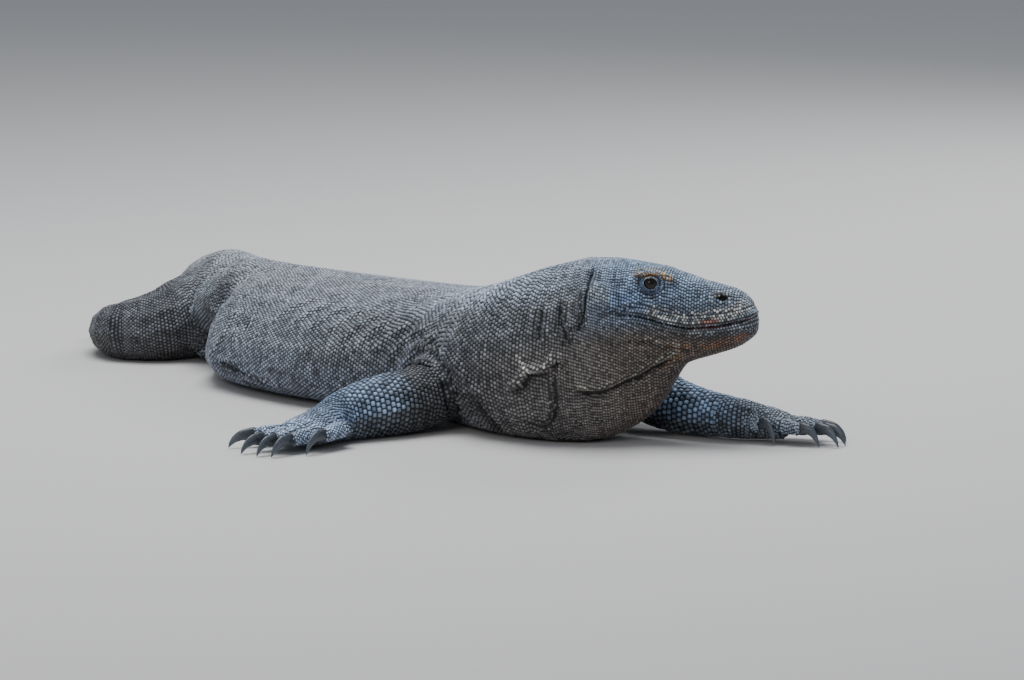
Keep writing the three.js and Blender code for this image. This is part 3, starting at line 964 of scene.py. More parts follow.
def foldSkin(mesh, tree):
    points, _ = meshArrays(mesh)
    normals = meshNormals(mesh)
    # painted shading from the folds, toe grooves and ribs
    foldShading = np.zeros(len(points))
    free = outsideThighs(points)
    for fold in foldLines.values():
        path = traceOnSkin(fold["line"], tree)
        sizes = [fold.get(key, 0) * mm for key in ("width", "depth", "lip")]
        hollow = not fold.get("dark", True)
        before = points.copy()
        for run in (path, otherSide(path, tree)) if fold.get("both") else (path,):
            foldLine(points, normals, run, *sizes, fold.get("side"), foldShading=None if hollow else foldShading)
        if hollow:
            points = before + (points - before) * free[:, None]
    # grooves between the toes, with painted shade in them
    for run in toeGrooves(tree):
        foldLine(points, normals, run, toeGroove["width"] * mm, toeGroove["depth"] * mm,
                 share=toeGroove["endShare"], foldShading=foldShading)
    raiseRibs(points, normals, foldShading, tree)
    foldShading = np.clip(foldShading, foldShape["palest"], foldShape["darkest"])
    points[:, 2] = np.maximum(points[:, 2], skinMake["lowest"])
    setPoints(mesh, points)
    return foldShading


def inBox(inHead, box):
    ahead, height, halfLength, halfHeight = skinMake[box]
    return (np.abs(inHead[:, 0] - ahead) < halfLength) & (np.abs(inHead[:, 2] - height) < halfHeight)


def makeSkin():
    mesh = makeSkinBase()
    inHead = headFrame(faceCentres(mesh))
    back, half, low = skinMake["headBox"]
    refine(mesh, (inHead[:, 0] > back) & (np.abs(inHead[:, 1]) < half) & (inHead[:, 2] > low))
    points, edges = meshArrays(mesh)
    inHead = headFrame(points)
    ahead, high = skinMake["headFade"]
    weight = smoothStep(inHead[:, 0], *ahead) * smoothStep(inHead[:, 2], *high)
    setPoints(mesh, relax(points, edges, 5, weight))
    inHead = headFrame(faceCentres(mesh))
    nearEye = inBox(inHead, "eyeBox") & (np.abs(inHead[:, 1]) > skinMake["eyeOut"])
    lips = np.interp(inHead[:, 0], *np.array(mouthLine[::-1], float).T)
    nearLips = (np.abs(inHead[:, 2] - lips) < skinMake["lipBand"]) & (inHead[:, 0] > skinMake["lipEnd"])
    refine(mesh, nearEye | inBox(inHead, "noseBox") | nearLips)
    points, edges = meshArrays(mesh)
    weight = 0.8 * smoothStep(headFrame(points)[:, 0], *skinMake["fineFade"])
    setPoints(mesh, relax(points, edges, 3, weight))
    foldShading = foldSkin(mesh, skinTree(mesh))
    mouth = shapeHead(mesh, skinTree(mesh))
    print("skin has", len(mesh.polygons), "faces before thinning")
    return mesh, mouth, foldShading


skinMesh, mouthRun, skinFoldShading = makeSkin()
skinShape = skinTree(skinMesh)


# Scales stand in rows across the body, each row half a scale out of step with the last. A tube is
# a run of rings along the body or a limb, cast out onto the skin.
rowRules = {
    "rays": 96,
    "columns": 288,
    "ringStep": 0.006,
    # distance behind the snout tip, size along and across the body, mm
    "body": [(0, 3.2, 3.3), (40, 3.9, 4.2), (110, 3.9, 4.2), (160, 3.6, 3.9), (200, 3.9, 4.1),
             (240, 5.4, 5.0), (330, 6.6, 5.9), (450, 6.0, 5.7), (560, 4.8, 4.9), (1000, 4.7, 4.8),
             (1172, 5.2, 5.2), (1500, 6.4, 5.2), (1900, 6.0, 4.4), (2200, 4.6, 3.4), (2362, 3.2, 2.6)],
    # share of the limb's length from shoulder to knuckles, then size along and across
    "front": [(0, 5.0, 5.4), (0.44, 5.0, 5.4), (0.53, 6.6, 7.0), (0.67, 6.4, 7.0), (0.75, 4.8, 5.8),
              (0.81, 4.0, 5.0), (1, 3.8, 4.6)],
    "hind": [(0, 4.6, 4.8), (0.35, 4.5, 4.8), (0.6, 4.6, 4.9), (0.78, 4.2, 4.8), (1, 3.8, 4.6)],
    "digit": [(0, 3.6, 4.5), (0.6, 3.4, 4.3), (1, 3.2, 4.0)],
    "mostCrease": {"limb": 0.45, "body": 0.72},   # no scales deeper in a crease than that
    "rootShare": {"front": 0.15, "hind": 0.04, "digit": 0.30},   # bare at the root of each tube
    "lengths": (0.8, 1.3),       # least and most length of a scale, against its usual length
    "lips": [2.6, 5.9, 9.2, 12.4, -3.0, -6.3],   # rows above and below the mouth, mm
    "lipPitch": 3.5,
    "lidRings": [1.10, 1.28, 1.47, 1.67, 1.88],
    "lidPitch": 1.9,
    "offSkin": 0.005,            # a row that lies further from the skin is left out
    "closest": 0.40,             # scales of other rows stand that far off, against both sizes
    "fillTries": 150000,
    "fillRoom": 0.80,            # room for one more scale, against the size of its neighbour
    "fillSize": 0.92,
    "fillJitter": 0.0006,
    "fillCell": 0.008,
}


def castRings(centres, firsts, seconds, reachFirst, reachUp, reachDown, swell, slack, tree):
    # for each ring, the skin's points in each direction, and whether they belong to this tube
    angles = np.linspace(0, 2 * math.pi, rowRules["rays"], endpoint=False)
    points = np.zeros((len(centres), len(angles), 3))
    good = np.zeros((len(centres), len(angles)), bool)
    for i, centre in enumerate(centres):
        start = Vector(centre)
        for j, angle in enumerate(angles):
            c, s = math.cos(angle), math.sin(angle)
            ray = c * firsts[i] + s * seconds[i]
            tall = reachUp[i] if s > 0 else reachDown[i]
            expected = 1 / math.sqrt((c / reachFirst[i]) ** 2 + (s / tall) ** 2)
            place, _, _, _ = tree.ray_cast(start, Vector(ray), expected * swell + slack)
            good[i, j] = place is not None
            points[i, j] = place if place is not None else centre + ray * expected
    return points, good


def evenColumns(points, good):
    # the same rings with their points evenly spread round them
    count = rowRules["columns"]
    even = np.zeros((len(points), count, 3))
    fine = np.zeros((len(points), count), bool)
    around = np.zeros(len(points))
    share = np.arange(count) / count
    for i, ring in enumerate(points):
        loop = np.vstack([ring, ring[:1]])
        reach = np.concatenate([[0], np.cumsum(np.linalg.norm(np.diff(loop, axis=0), axis=1))])
        around[i] = reach[-1]
        for c in range(3):
            even[i, :, c] = np.interp(share * reach[-1], reach, loop[:, c])
        fine[i] = np.interp(share * reach[-1], reach, np.append(good[i], good[i, 0]).astype(float)) > 0.99
    return even, fine, around


def layRows(reach, even, fine, around, sizes, reference, rowShare):
    # rows along the tube, evenly spaced at its reference side; a row ends where they would crowd
    count = even.shape[1]
    gaps = np.linalg.norm(np.diff(even, axis=0), axis=2) / np.diff(reach)[:, None]
    gaps = np.clip(np.vstack([gaps, gaps[-1:]]), 0.15, 3.0)
    padded = np.vstack([gaps[:1]] * 2 + [gaps] + [gaps[-1:]] * 2)
    gaps = sum(padded[k:k + len(gaps)] for k in range(5)) / 5
    along, across = curveThrough(sizes, reach).T * mm
    step = along * rowShare
    density = 2 * gaps[:, int(reference * count) % count] / step
    rows = np.concatenate([[0], np.cumsum(0.5 * (density[1:] + density[:-1]) * np.diff(reach))])
    columns = np.arange(count + 1) / count
    scales = []
    held = 0
    for row in range(1, int(rows[-1])):
        s = np.interp(row, rows, reach)
        i = min(np.searchsorted(reach, s, side="right") - 1, len(reach) - 2)
        t = (s - reach[i]) / (reach[i + 1] - reach[i])
        ring = (1 - t) * even[i] + t * even[i + 1]
        ringGap = (1 - t) * gaps[i] + t * gaps[i + 1]
        ringFine = fine[i] & fine[i + 1]
        lengthway = unit(even[min(i + 2, len(even) - 1)] - even[max(i - 1, 0)])
        girth = (1 - t) * around[i] + t * around[i + 1]
        want = girth / np.interp(s, reach, across)
        if abs(want - held) > 2.5:
            held = int(round(want))
        if held < 5:
            continue
        space = 1 / np.interp(s, reach, density)
        ideal = np.interp(s, reach, step)
        k = np.arange(held)
        for multiple in (1, 2, 4, 8, 16):
            if row % multiple:
                continue
            parity = 0.5 * ((row // multiple) % 2)
            share = ((k + parity) / held + reference) % 1.0
            column = np.minimum((share * count).astype(int), count - 1)
            local = ringGap[column] * space
            chosen = 2.0 ** np.clip(np.round(np.log2(ideal / local)), 0, 4)
            keep = (chosen == multiple) & ringFine[column]
            if not keep.any():
                continue
            share, column, local = share[keep], column[keep], local[keep]
            loop = np.vstack([ring, ring[:1]])
            place = np.stack([np.interp(share, columns, loop[:, c]) for c in range(3)], 1)
            least, most = (v * ideal for v in rowRules["lengths"])
            length = np.clip(local * multiple, least, most) / rowShare
            scales.append(np.column_stack([
                place, lengthway[column], length, np.full(len(share), girth / held),
                np.full(len(share), s), share,
            ]))
    return np.vstack(scales)


def bodyTube(start, end):
    reach = np.linspace(start, end, int((end - start) / rowRules["ringStep"]) + 1)
    place, _, left = spineAt(reach)
    halfWidth, top, widest = curveThrough(bodyPath["sections"], reach / mm).T * mm
    centres = place + widest[:, None] * upward
    ups = np.tile(upward, (len(reach), 1))
    return reach, centres, -left, ups, halfWidth, top - widest, widest


def limbTube(rows, count):
    x, y, z, halfWidth, halfHeight = smoothPath(rows, count).T
    centres = np.stack([x, y, np.maximum(z, 0.006)], 1)
    s = np.concatenate([[0], np.cumsum(np.linalg.norm(np.diff(centres, axis=0), axis=1))])
    forward = unit(np.gradient(centres, axis=0) * np.array([1, 1, 0.4]))
    sides = unit(np.stack([-forward[:, 1], forward[:, 0], 0 * s], 1))
    ups = np.cross(forward, sides)
    return s, centres, sides, ups, halfWidth, halfHeight, halfHeight


def rowsOn(tube, sizes, swell, slack, reference, rowShare, tree):
    reach, centres, firsts, seconds, wide, tall, deep = tube
    points, good = castRings(centres, firsts, seconds, wide, tall, deep, swell, slack, tree)
    even, fine, around = evenColumns(points, good)
    return layRows(reach, even, fine, around, sizes, reference, rowShare)


hexRow = 0.866     # a row of six-sided beads stands that much of a bead behind the last
brickRow = 1.0     # and a row of plates a whole plate
tailStart = 1.17   # behind the snout tip, as the head's end
headEnd = 0.209


def outerShare(tube, towardCamera):
    # the reference side of a limb: its outer side, a little above the middle
    facesCamera = tube[2][:, 1].mean() < 0
    return 0.10 if facesCamera == towardCamera else 0.40


def layScales(tree):
    patches = {}
    sizes = np.array(rowRules["body"], float)
    sizes[:, 0] *= mm
    rows = rowsOn(bodyTube(mm, bodyPath["length"] - mm), sizes, 1.3, 0.006, 0.0, hexRow, tree)
    patches["head"] = rows[rows[:, 8] < headEnd]
    patches["trunk"] = rows[(rows[:, 8] >= headEnd) & (rows[:, 8] < tailStart)]
    patches["tail"] = rows[rows[:, 8] >= tailStart]
    for name, limb in limbs.items():
        kind = "front" if "front" in name else "hind"
        tube = limbTube(limb["rows"], 70)
        sizes = np.array(rowRules[kind], float)
        sizes[:, 0] *= tube[0][-1]
        reference = outerShare(tube, "right" in name)
        rows = rowsOn(tube, sizes, 1.16, 0.006, reference, brickRow if kind == "front" else hexRow, tree)
        patches[name] = rows[rows[:, 8] > rowRules["rootShare"][kind] * tube[0][-1]]
        for k, digit in enumerate(limb["digits"]):
            toe, _ = digitRows(digit, limb["thick"])
            tube = limbTube(toe, 22)
            sizes = np.array(rowRules["digit"], float)
            sizes[:, 0] *= tube[0][-1]
            rows = rowsOn(tube, sizes, 1.2, 0.002, 0.25, brickRow, tree)
            patches[f"{name}_digit_{k + 1}"] = rows[rows[:, 8] > rowRules["rootShare"]["digit"] * tube[0][-1]]
    return patches


def lidRows(tree):
    # rings of small grains round each eye
    rows = []
    for side in (-1, 1):
        centre = eyeCentre(side)
        forward, up, out = eyeAxes(side)
        halfLength, halfHeight = (v * mm for v in headShape["eyeOpening"])
        for k, q in enumerate(rowRules["lidRings"]):
            pitch = rowRules["lidPitch"] * mm * (1 + 0.14 * k)
            count = int(round(2 * math.pi * q * 0.5 * (halfLength + halfHeight) / pitch))
            for n in range(count):
                angle = 2 * math.pi * (n + 0.5 * (k % 2)) / count
                a, b = q * halfLength * math.cos(angle), q * halfHeight * math.sin(angle)
                start = Vector(centre + forward * a + up * b + out * 0.03)
                place, _, _, _ = tree.ray_cast(start, Vector(-out), 0.05)
                if place is None:
                    continue
                way = -math.sin(angle) * forward + math.cos(angle) * up
                rows.append([*place, *way, pitch, pitch, 0.07, 0.25 + 0.2 * n / count])
    return np.array(rows)


def lipRows(tree):
    # rows of small plates along the lips
    rows = []
    pitch = rowRules["lipPitch"] * mm
    for k, offset in enumerate(rowRules["lips"]):
        path = evenPath(mouthRun, pitch)
        if k % 2:
            path = 0.5 * (path[1:] + path[:-1])
        for p in path:
            if headFrame(p[None])[0, 0] < 44 + abs(offset):
                continue
            place = np.array(tree.find_nearest(Vector(p + upward * offset * mm))[0])
            rows.append([*place, *upward, pitch, pitch, 0.03, 0.3 + 0.4 * k / 5])
    return np.array(rows)


scalePatches = layScales(skinShape)
scalePatches["lids"] = lidRows(skinShape)
scalePatches["lips"] = lipRows(skinShape)
print("rows of scales are laid:", sum(len(v) for v in scalePatches.values()))


def eyeShare(points, side):
    # how far a point stands from the eye's opening: 1 is its edge
    away = points - eyeCentre(side)
    forward, up, out = eyeAxes(side)
    return np.where(away @ out > -0.008, openingShare(away @ forward, away @ up), 99.0)


def nostrilShare(points, side, tree):
    forward, height = headShape["nostril"]
    place = sidePoint(tree, forward, height, side)
    halfLength, halfHeight = (v * mm for v in headShape["nostrilSize"])
    away = points - place
    q = np.sqrt((away @ headForward / halfLength) ** 2 + (away[:, 2] / halfHeight) ** 2)
    return np.where(np.abs(away @ headLeft) < 0.012, q, 99.0)


def mouthGap(points):
    # distance from the lips' meeting line, below it negative
    index, distance, step, _ = nearPath(points, mouthRun, 0.017)
    gap = np.full(len(points), 1.0)
    gap[index] = np.where(step[:, 2] > 0, distance, -distance)
    return gap


clearRules = {
    "floor": 0.0035,                # no scales under the belly below that
    "underside": -0.35,
    "eye": 2.0,                     # against the opening of the lids
    "lids": 1.02,
    "nostril": 1.0,
    "mouth": 0.0016,
    "mouthEnd": 42,                 # the mouth's corner, mm ahead of the back of the head
    "lipBand": (-0.0080, 0.0136),   # kept for the rows along the lips
    "lipBandEnd": 52,
}


def clearPlaces(places, normal, name, tree):
    # where a scale may stand: off the floor and clear of the eyes, nostrils and mouth
    ok = ~((places[:, 2] < clearRules["floor"]) & (normal[:, 2] < clearRules["underside"]))
    inHead = headFrame(places)
    near = (inHead[:, 0] > 0) & (np.abs(inHead[:, 1]) < 80) & (inHead[:, 2] > 100)
    index = np.nonzero(near)[0]
    if len(index):
        some = places[index]
        good = np.ones(len(index), bool)
        for side in (-1, 1):
            good &= eyeShare(some, side) > clearRules["lids" if name == "lids" else "eye"]
            good &= nostrilShare(some, side, tree) > clearRules["nostril"]
        gap = mouthGap(some)
        forward = inHead[index, 0]
        good &= (np.abs(gap) > clearRules["mouth"]) | (forward < clearRules["mouthEnd"])
        if name not in ("lips", "lids"):
            low, high = clearRules["lipBand"]
            good &= ~((gap > low) & (gap < high) & (forward > clearRules["lipBandEnd"]))
        ok[index] &= good
    return ok


def faceNormals(mesh, normals):
    corners = readField(mesh.loops, "vertex_index", kind=np.int32)
    starts = readField(mesh.polygons, "loop_start", kind=np.int32)
    first, third = corners[starts], corners[starts + 2]
    return unit(normals[first] + normals[third]), first


# columns of a settled row: place 0-2, way along the body 3-5, size along 6 and across 7,
# distance along the tube 8, share round it 9, normal 10-12, painted fold shading 13
def settle(patches, mesh, tree):
    normals, first = faceNormals(mesh, meshNormals(mesh))
    body = ("head", "trunk", "tail")
    order = [name for name in patches if name in ("lids", "lips")]
    order += [name for name in patches if "digit" in name]
    order += [name for name in patches if name not in order and name not in body]
    order += [name for name in body]
    kept = {}
    takenPlaces, takenSizes = np.zeros((0, 3)), np.zeros(0)
    for name in order:
        rows = patches[name]
        places, faces, far = np.zeros((len(rows), 3)), np.zeros(len(rows), int), np.zeros(len(rows))
        for i, row in enumerate(rows):
            place, _, faces[i], far[i] = tree.find_nearest(row[:3])
            places[i] = place
        normal = normals[faces]
        ok = (far < rowRules["offSkin"]) & clearPlaces(places, normal, name, tree)
        if len(takenPlaces):
            crowd = treeOfPoints(takenPlaces)
            for i in np.nonzero(ok)[0]:
                _, other, distance = crowd.find(places[i])
                ok[i] = distance > rowRules["closest"] * (min(rows[i, 6], rows[i, 7]) + takenSizes[other])
        rows = np.column_stack([places, rows[:, 3:], normal, skinFoldShading[first[faces]]])[ok]
        kept[name] = rows
        if name not in body:
            takenPlaces = np.vstack([takenPlaces, rows[:, :3]])
            takenSizes = np.append(takenSizes, np.minimum(rows[:, 6], rows[:, 7]))
    fillGaps(kept, mesh, normals, first, tree)
    for name, rows in kept.items():
        if "_" in name:
            kept[name] = rows[rows[:, 13] < rowRules["mostCrease"]["limb"]]
        elif name not in ("lips", "lids"):
            kept[name] = rows[rows[:, 13] < rowRules["mostCrease"]["body"]]
    return kept


def fillGaps(kept, mesh, normals, first, tree):
    # between rows that run different ways, scales fill the gaps and follow the nearest row
    names = list(kept)
    rows = np.vstack([kept[name] for name in names])
    owner = np.concatenate([np.full(len(kept[name]), i) for i, name in enumerate(names)])
    pitch = np.sqrt(rows[:, 6] * rows[:, 7])
    room, cell = rowRules["fillRoom"], rowRules["fillCell"]
    crowd = treeOfPoints(rows[:, :3])
    areas = readField(mesh.polygons, "area")
    draw = np.random.default_rng(11)
    faces = draw.choice(len(areas), rowRules["fillTries"] // (1), p=areas / areas.sum())
    centres = faceCentres(mesh)[faces]
    centres += draw.normal(0, rowRules["fillJitter"], centres.shape)
    found = []
    for face, p in zip(faces, centres):
        _, near, distance = crowd.find(p)
        if distance > room * pitch[near] and normals[face] @ rows[near, 10:13] > -0.2:
            found.append((distance / pitch[near], face, near, p))
    found.sort(key=lambda item: item[0])
    grid = {}
    added = {name: [] for name in names}
    for _, face, near, p in found:
        key = tuple(int(v // cell) for v in p)
        reach = room * pitch[near]
        around = [q for dx in (-1, 0, 1) for dy in (-1, 0, 1) for dz in (-1, 0, 1)
                  for q in grid.get((key[0] + dx, key[1] + dy, key[2] + dz), ())]
        if any(np.dot(p - q, p - q) < reach * reach for q in around):
            continue
        grid.setdefault(key, []).append(p)
        place = np.array(tree.find_nearest(p)[0])
        row = rows[near].copy()
        row[:3] = place
        row[6:8] = rowRules["fillSize"] * min(row[6], row[7])
        row[10:13] = normals[face]
        row[13] = skinFoldShading[first[face]]
        added[names[owner[near]]].append(row)
    for name in names:
        if added[name]:
            extra = np.array(added[name])
            extra = extra[clearPlaces(extra[:, :3], extra[:, 10:13], name, tree)]
            kept[name] = np.vstack([kept[name], extra])
    print("gaps are filled:", sum(len(v) for v in added.values()))


scaleRows = settle(scalePatches, skinMesh, skinShape)
print("scales kept:", sum(len(v) for v in scaleRows.values()))


# colour of the crown of a scale, as light it gives back; markings are laid over it
pigment = {
    # distance behind the snout tip, mm, then top, side and underside. The paler tops are partly
    # dust and the animal's own colour and partly painted top light; the blue, most on the head and
    # neck, is partly painted blue sky reflection.
    "body": [
        (0, (0.22, 0.26, 0.31), (0.13, 0.142, 0.163), (0.095, 0.064, 0.048)),
        (60, (0.225, 0.30, 0.405), (0.085, 0.10, 0.13), (0.09, 0.068, 0.056)),
        (150, (0.225, 0.32, 0.465), (0.21, 0.29, 0.42), (0.16, 0.135, 0.12)),
        (210, (0.25, 0.30, 0.37), (0.165, 0.175, 0.19), (0.155, 0.142, 0.135)),
        (300, (0.35, 0.395, 0.48), (0.155, 0.165, 0.185), (0.135, 0.135, 0.145)),
        (420, (0.32, 0.36, 0.43), (0.145, 0.16, 0.185), (0.13, 0.162, 0.225)),
        (540, (0.25, 0.275, 0.32), (0.18, 0.195, 0.22), (0.15, 0.175, 0.225)),
        (700, (0.25, 0.275, 0.315), (0.232, 0.262, 0.305), (0.185, 0.212, 0.27)),
        (940, (0.26, 0.28, 0.315), (0.232, 0.255, 0.295), (0.185, 0.212, 0.265)),
        (1100, (0.27, 0.285, 0.305), (0.19, 0.20, 0.215), (0.14, 0.148, 0.16)),
        (1500, (0.20, 0.205, 0.215), (0.14, 0.142, 0.15), (0.10, 0.10, 0.105)),
        (2362, (0.14, 0.14, 0.145), (0.11, 0.11, 0.115), (0.08, 0.08, 0.082)),
    ],
    # how high up the flank the underside ends and the side begins, along the same way
    "edges": [(0, 0.66, 0.80), (150, 0.60, 0.76), (250, 0.45, 0.70), (450, 0.25, 0.55), (2362, 0.22, 0.55)],
    # share of the limb from its root, then outer side and underside. The blue of the forelegs'
    # outer sides is partly painted sky reflection, and the darker undersides are partly painted shade.
    "front": [
        (0.0, (0.11, 0.115, 0.13), (0.08, 0.082, 0.09)), (0.48, (0.075, 0.078, 0.085), (0.065, 0.066, 0.07)),
        (0.60, (0.22, 0.30, 0.42), (0.09, 0.10, 0.12)), (0.74, (0.20, 0.28, 0.42), (0.10, 0.12, 0.15)),
        (0.81, (0.095, 0.14, 0.22), (0.10, 0.12, 0.15)), (0.90, (0.13, 0.18, 0.26), (0.12, 0.14, 0.17)),
        (1.0, (0.36, 0.46, 0.62), (0.14, 0.16, 0.19)),
    ],
    # the far foreleg: its hand darker by painted shade, its forearm bluer by painted sky reflection
    "front_left": [
        (0.0, (0.11, 0.115, 0.13), (0.08, 0.082, 0.09)), (0.40, (0.12, 0.15, 0.20), (0.065, 0.066, 0.07)),
        (0.50, (0.20, 0.29, 0.44), (0.09, 0.10, 0.12)), (0.75, (0.20, 0.29, 0.44), (0.10, 0.12, 0.15)),
        (0.86, (0.14, 0.175, 0.23), (0.10, 0.12, 0.14)), (1.0, (0.21, 0.25, 0.31), (0.12, 0.14, 0.16)),
    ],
    "hind": [
        (0.0, (0.16, 0.17, 0.185), (0.10, 0.10, 0.11)), (0.3, (0.11, 0.115, 0.13), (0.075, 0.073, 0.08)),
        (1.0, (0.12, 0.122, 0.13), (0.08, 0.08, 0.085)),
    ],
    "gapShare": 0.16,       # the skin between scales against the scales beside it: partly its own darker tone, partly painted shade between the scales
    "spread": 0.30,         # how much one scale differs from the next
    "spreadLimits": (0.45, 1.7),
    "darkShare": 0.06,      # share of scales that are much darker
    "darkFactor": 0.5,
    "creaseShade": 0.62,    # painted shade: how much darker a scale is at the bottom of a groove; on a ridge the painted highlight makes it paler
    "tailReach": 1.25,      # the tail lies beside the flank: past that only its own scales take its colour
    "mouth": (0.16, 0.022, 0.016),
    # painted shade: near black inside the nostrils and round the eye openings
    "nostril": (0.012, 0.010, 0.009),
    "socket": (0.02, 0.018, 0.017),
}

# patches and streaks in picture points on the near side: width in mm, colour, how strongly it
# covers, the share of scales it takes, and whether the far side has it too
markings = {
    "browPale": {
        "line": [(633, 275), (640, 271), (650, 269.5), (662, 272), (669, 276)],
        "width": 6.0, "colour": (0.42, 0.36, 0.25), "cover": 0.7, "share": 0.65, "both": True,
    },
    "brow": {
        "line": [(638, 277.5), (644, 275), (652, 274), (661, 275), (670, 278)],
        "width": 5.2, "colour": (0.45, 0.25, 0.09), "cover": 0.95, "share": 0.66, "both": True,
    },
    "nostrilRim": {
        "line": [(716, 295), (721, 292.5), (728, 293), (732, 297)],
        "width": 2.6, "colour": (0.36, 0.25, 0.13), "cover": 0.7, "share": 0.8, "both": True,
    },
    # painted sky reflection: a blue sheen painted on the cheek
    "cheekReflection": {
        "line": [(611, 302), (620, 298), (629, 296), (637, 299)],
        "width": 8.5, "colour": (0.2, 0.29, 0.46), "cover": 0.75, "share": 0.9, "both": True,
    },
    "temple": {
        "line": [(594, 292), (600, 296), (606, 299)],
        "width": 9, "colour": (0.34, 0.38, 0.4), "cover": 0.6, "share": 0.75, "both": True,
    },
    "upperLip": {
        "line": [(652, 312), (668, 316), (684, 319), (700, 319), (718, 316), (734, 311), (744, 307)],
        "width": 8.0, "colour": (0.58, 0.58, 0.56), "cover": 0.88, "share": 0.75, "both": True,
    },
    "upperLipSpots": {
        "line": [(652, 313), (668, 317), (684, 320), (700, 320), (718, 317), (734, 313)],
        "width": 6.0, "colour": (0.05, 0.055, 0.06), "cover": 0.8, "share": 0.2, "both": True,
    },
    "noseFront": {
        "line": [(733, 305), (742, 303), (750, 307)],
        "width": 7, "colour": (0.33, 0.34, 0.33), "cover": 0.6, "share": 0.7, "both": True,
    },
    "lowerLip": {
        "line": [(690, 333), (704, 333), (722, 330), (738, 326), (748, 325)],
        "width": 3.6, "colour": (0.29, 0.33, 0.37), "cover": 0.7, "share": 0.8, "both": True,
    },
    "redCorner": {
        "line": [(702, 323), (709, 321.5), (717, 320.5)],
        "width": 2.6, "colour": (0.4, 0.13, 0.1), "cover": 0.9, "share": 1.0,
    },
    "chinRust": {
        "line": [(716, 344), (728, 340), (740, 338), (749, 335)],
        "width": 5.5, "colour": (0.24, 0.1, 0.05), "cover": 0.8, "share": 0.65, "both": True,
    },
    "jawRust": {
        "line": [(668, 346), (682, 347), (698, 347), (712, 346)],
        "width": 5.0, "colour": (0.22, 0.115, 0.065), "cover": 0.75, "share": 0.6, "both": True,
    },
    "jawDark": {
        "line": [(700, 338), (712, 336), (722, 335)],
        "width": 5.0, "colour": (0.05, 0.055, 0.065), "cover": 0.7, "share": 0.8, "both": True,
    },
    "jawStreak": {
        "line": [(643, 338), (656, 340), (668, 343), (680, 346)],
        "width": 2.6, "colour": (0.34, 0.3, 0.25), "cover": 0.7, "share": 0.6, "both": True,
    },
    "gularEdge": {
        "line": [(580, 388), (598, 389), (614, 384), (630, 377), (645, 370), (660, 361), (676, 352)],
        "width": 4.0, "colour": (0.25, 0.24, 0.2), "cover": 0.7, "share": 0.8, "both": True,
    },
    "gularRust": {
        "line": [(662, 366), (672, 359), (681, 356)],
        "width": 4.5, "colour": (0.27, 0.14, 0.07), "cover": 0.6, "share": 0.6, "both": True,
    },
    "lidBlue": {
        "line": [(641, 292), (650, 295), (659, 291)],
        "width": 4.0, "colour": (0.13, 0.13, 0.21), "cover": 0.7, "share": 0.9, "both": True,
    },
    # painted shadow along the upper lid, under the brow
    "lidShadow": {
        "line": [(638, 284), (641, 277), (650, 275.5), (658, 278), (660, 285)],
        "width": 1.6, "colour": (0.05, 0.04, 0.035), "cover": 0.8, "share": 1.0, "both": True,
    },
    # painted shade along the fold behind the mouth corner
    "mouthCornerShade": {
        "line": [(600, 317), (614, 313), (632, 314), (650, 318)],
        "width": 4.5, "colour": (0.06, 0.06, 0.065), "cover": 0.6, "share": 0.9, "both": True,
    },
    "scar": {
        "line": [(518, 356), (522, 364), (528, 374)],
        "width": 3.0, "colour": (0.5, 0.46, 0.42), "cover": 0.9, "share": 0.95,
    },
    # painted highlight on the top of the neck lump
    "neckLumpHighlight": {
        "line": [(508, 384), (518, 381), (527, 369), (542, 367), (552, 356), (566, 354)],
        "width": 3.0, "colour": (0.3, 0.29, 0.28), "cover": 0.7, "share": 0.8,
    },
    # painted shadow under the neck lump
    "neckLumpShadow": {
        "line": [(510, 392), (522, 388), (532, 377), (546, 374), (556, 364)],
        "width": 3.5, "colour": (0.06, 0.055, 0.055), "cover": 0.7, "share": 0.9,
    },
    "chestFoldPale": {
        "line": [(552, 366), (553, 380), (554, 395), (555, 408)],
        "width": 2.6, "colour": (0.3, 0.28, 0.26), "cover": 0.6, "share": 0.5,
    },
    "flankSpot": {
        "line": [(245, 320), (247, 320)],
        "width": 6, "colour": (0.07, 0.07, 0.075), "cover": 0.7, "share": 1.0,
    },
    "flankSpotLow": {
        "line": [(272, 369), (274, 369)],
        "width": 5, "colour": (0.07, 0.07, 0.075), "cover": 0.7, "share": 1.0,
    },
    # painted shadow between the thigh and the belly
    "groinShadow": {
        "line": [(226, 280), (216, 294), (208, 310), (198, 332)],
        "width": 24, "colour": (0.075, 0.08, 0.093), "cover": 0.8, "share": 1.0, "both": True,
    },
    # painted shadow in the armpit
    "armpitShadow": {
        "line": [(474, 398), (484, 412), (496, 426)],
        "width": 11, "colour": (0.04, 0.04, 0.042), "cover": 0.75, "share": 1.0, "both": True,
    },
}


def mixIn(colours, other, weight):
    return colours + (np.asarray(other) - colours) * weight[:, None]


def coloursAlong(table, t):
    # the colours of a table's rows at t, one set for each column of colours
    at = [row[0] for row in table]
    return [np.stack([np.interp(t, at, [row[k][c] for row in table]) for c in range(3)], 1)
            for k in range(1, len(table[0]))]


def bodyColour(places, furthest=pigment["tailReach"]):
    d, _ = besideSpine(places, furthest)
    top, side, low = coloursAlong(pigment["body"], d / mm)
    crest = curveThrough(bodyPath["sections"], np.clip(d / mm, 0, 2361))[:, 1] * mm
    high = places[:, 2] / crest
    bottom, middle = np.array(pigment["edges"]).T[1:]
    along = np.array([row[0] for row in pigment["edges"]]) * mm
    colours = mixIn(low, side, smoothStep(high, np.interp(d, along, bottom), np.interp(d, along, middle)))
    # the back and upper flank take the top colour, partly painted top light
    start, full = (np.interp(d, (0.20, 0.26), edge) for edge in ((0.80, 0.72), (0.96, 0.92)))
    return mixIn(colours, top, smoothStep(high, start, full))


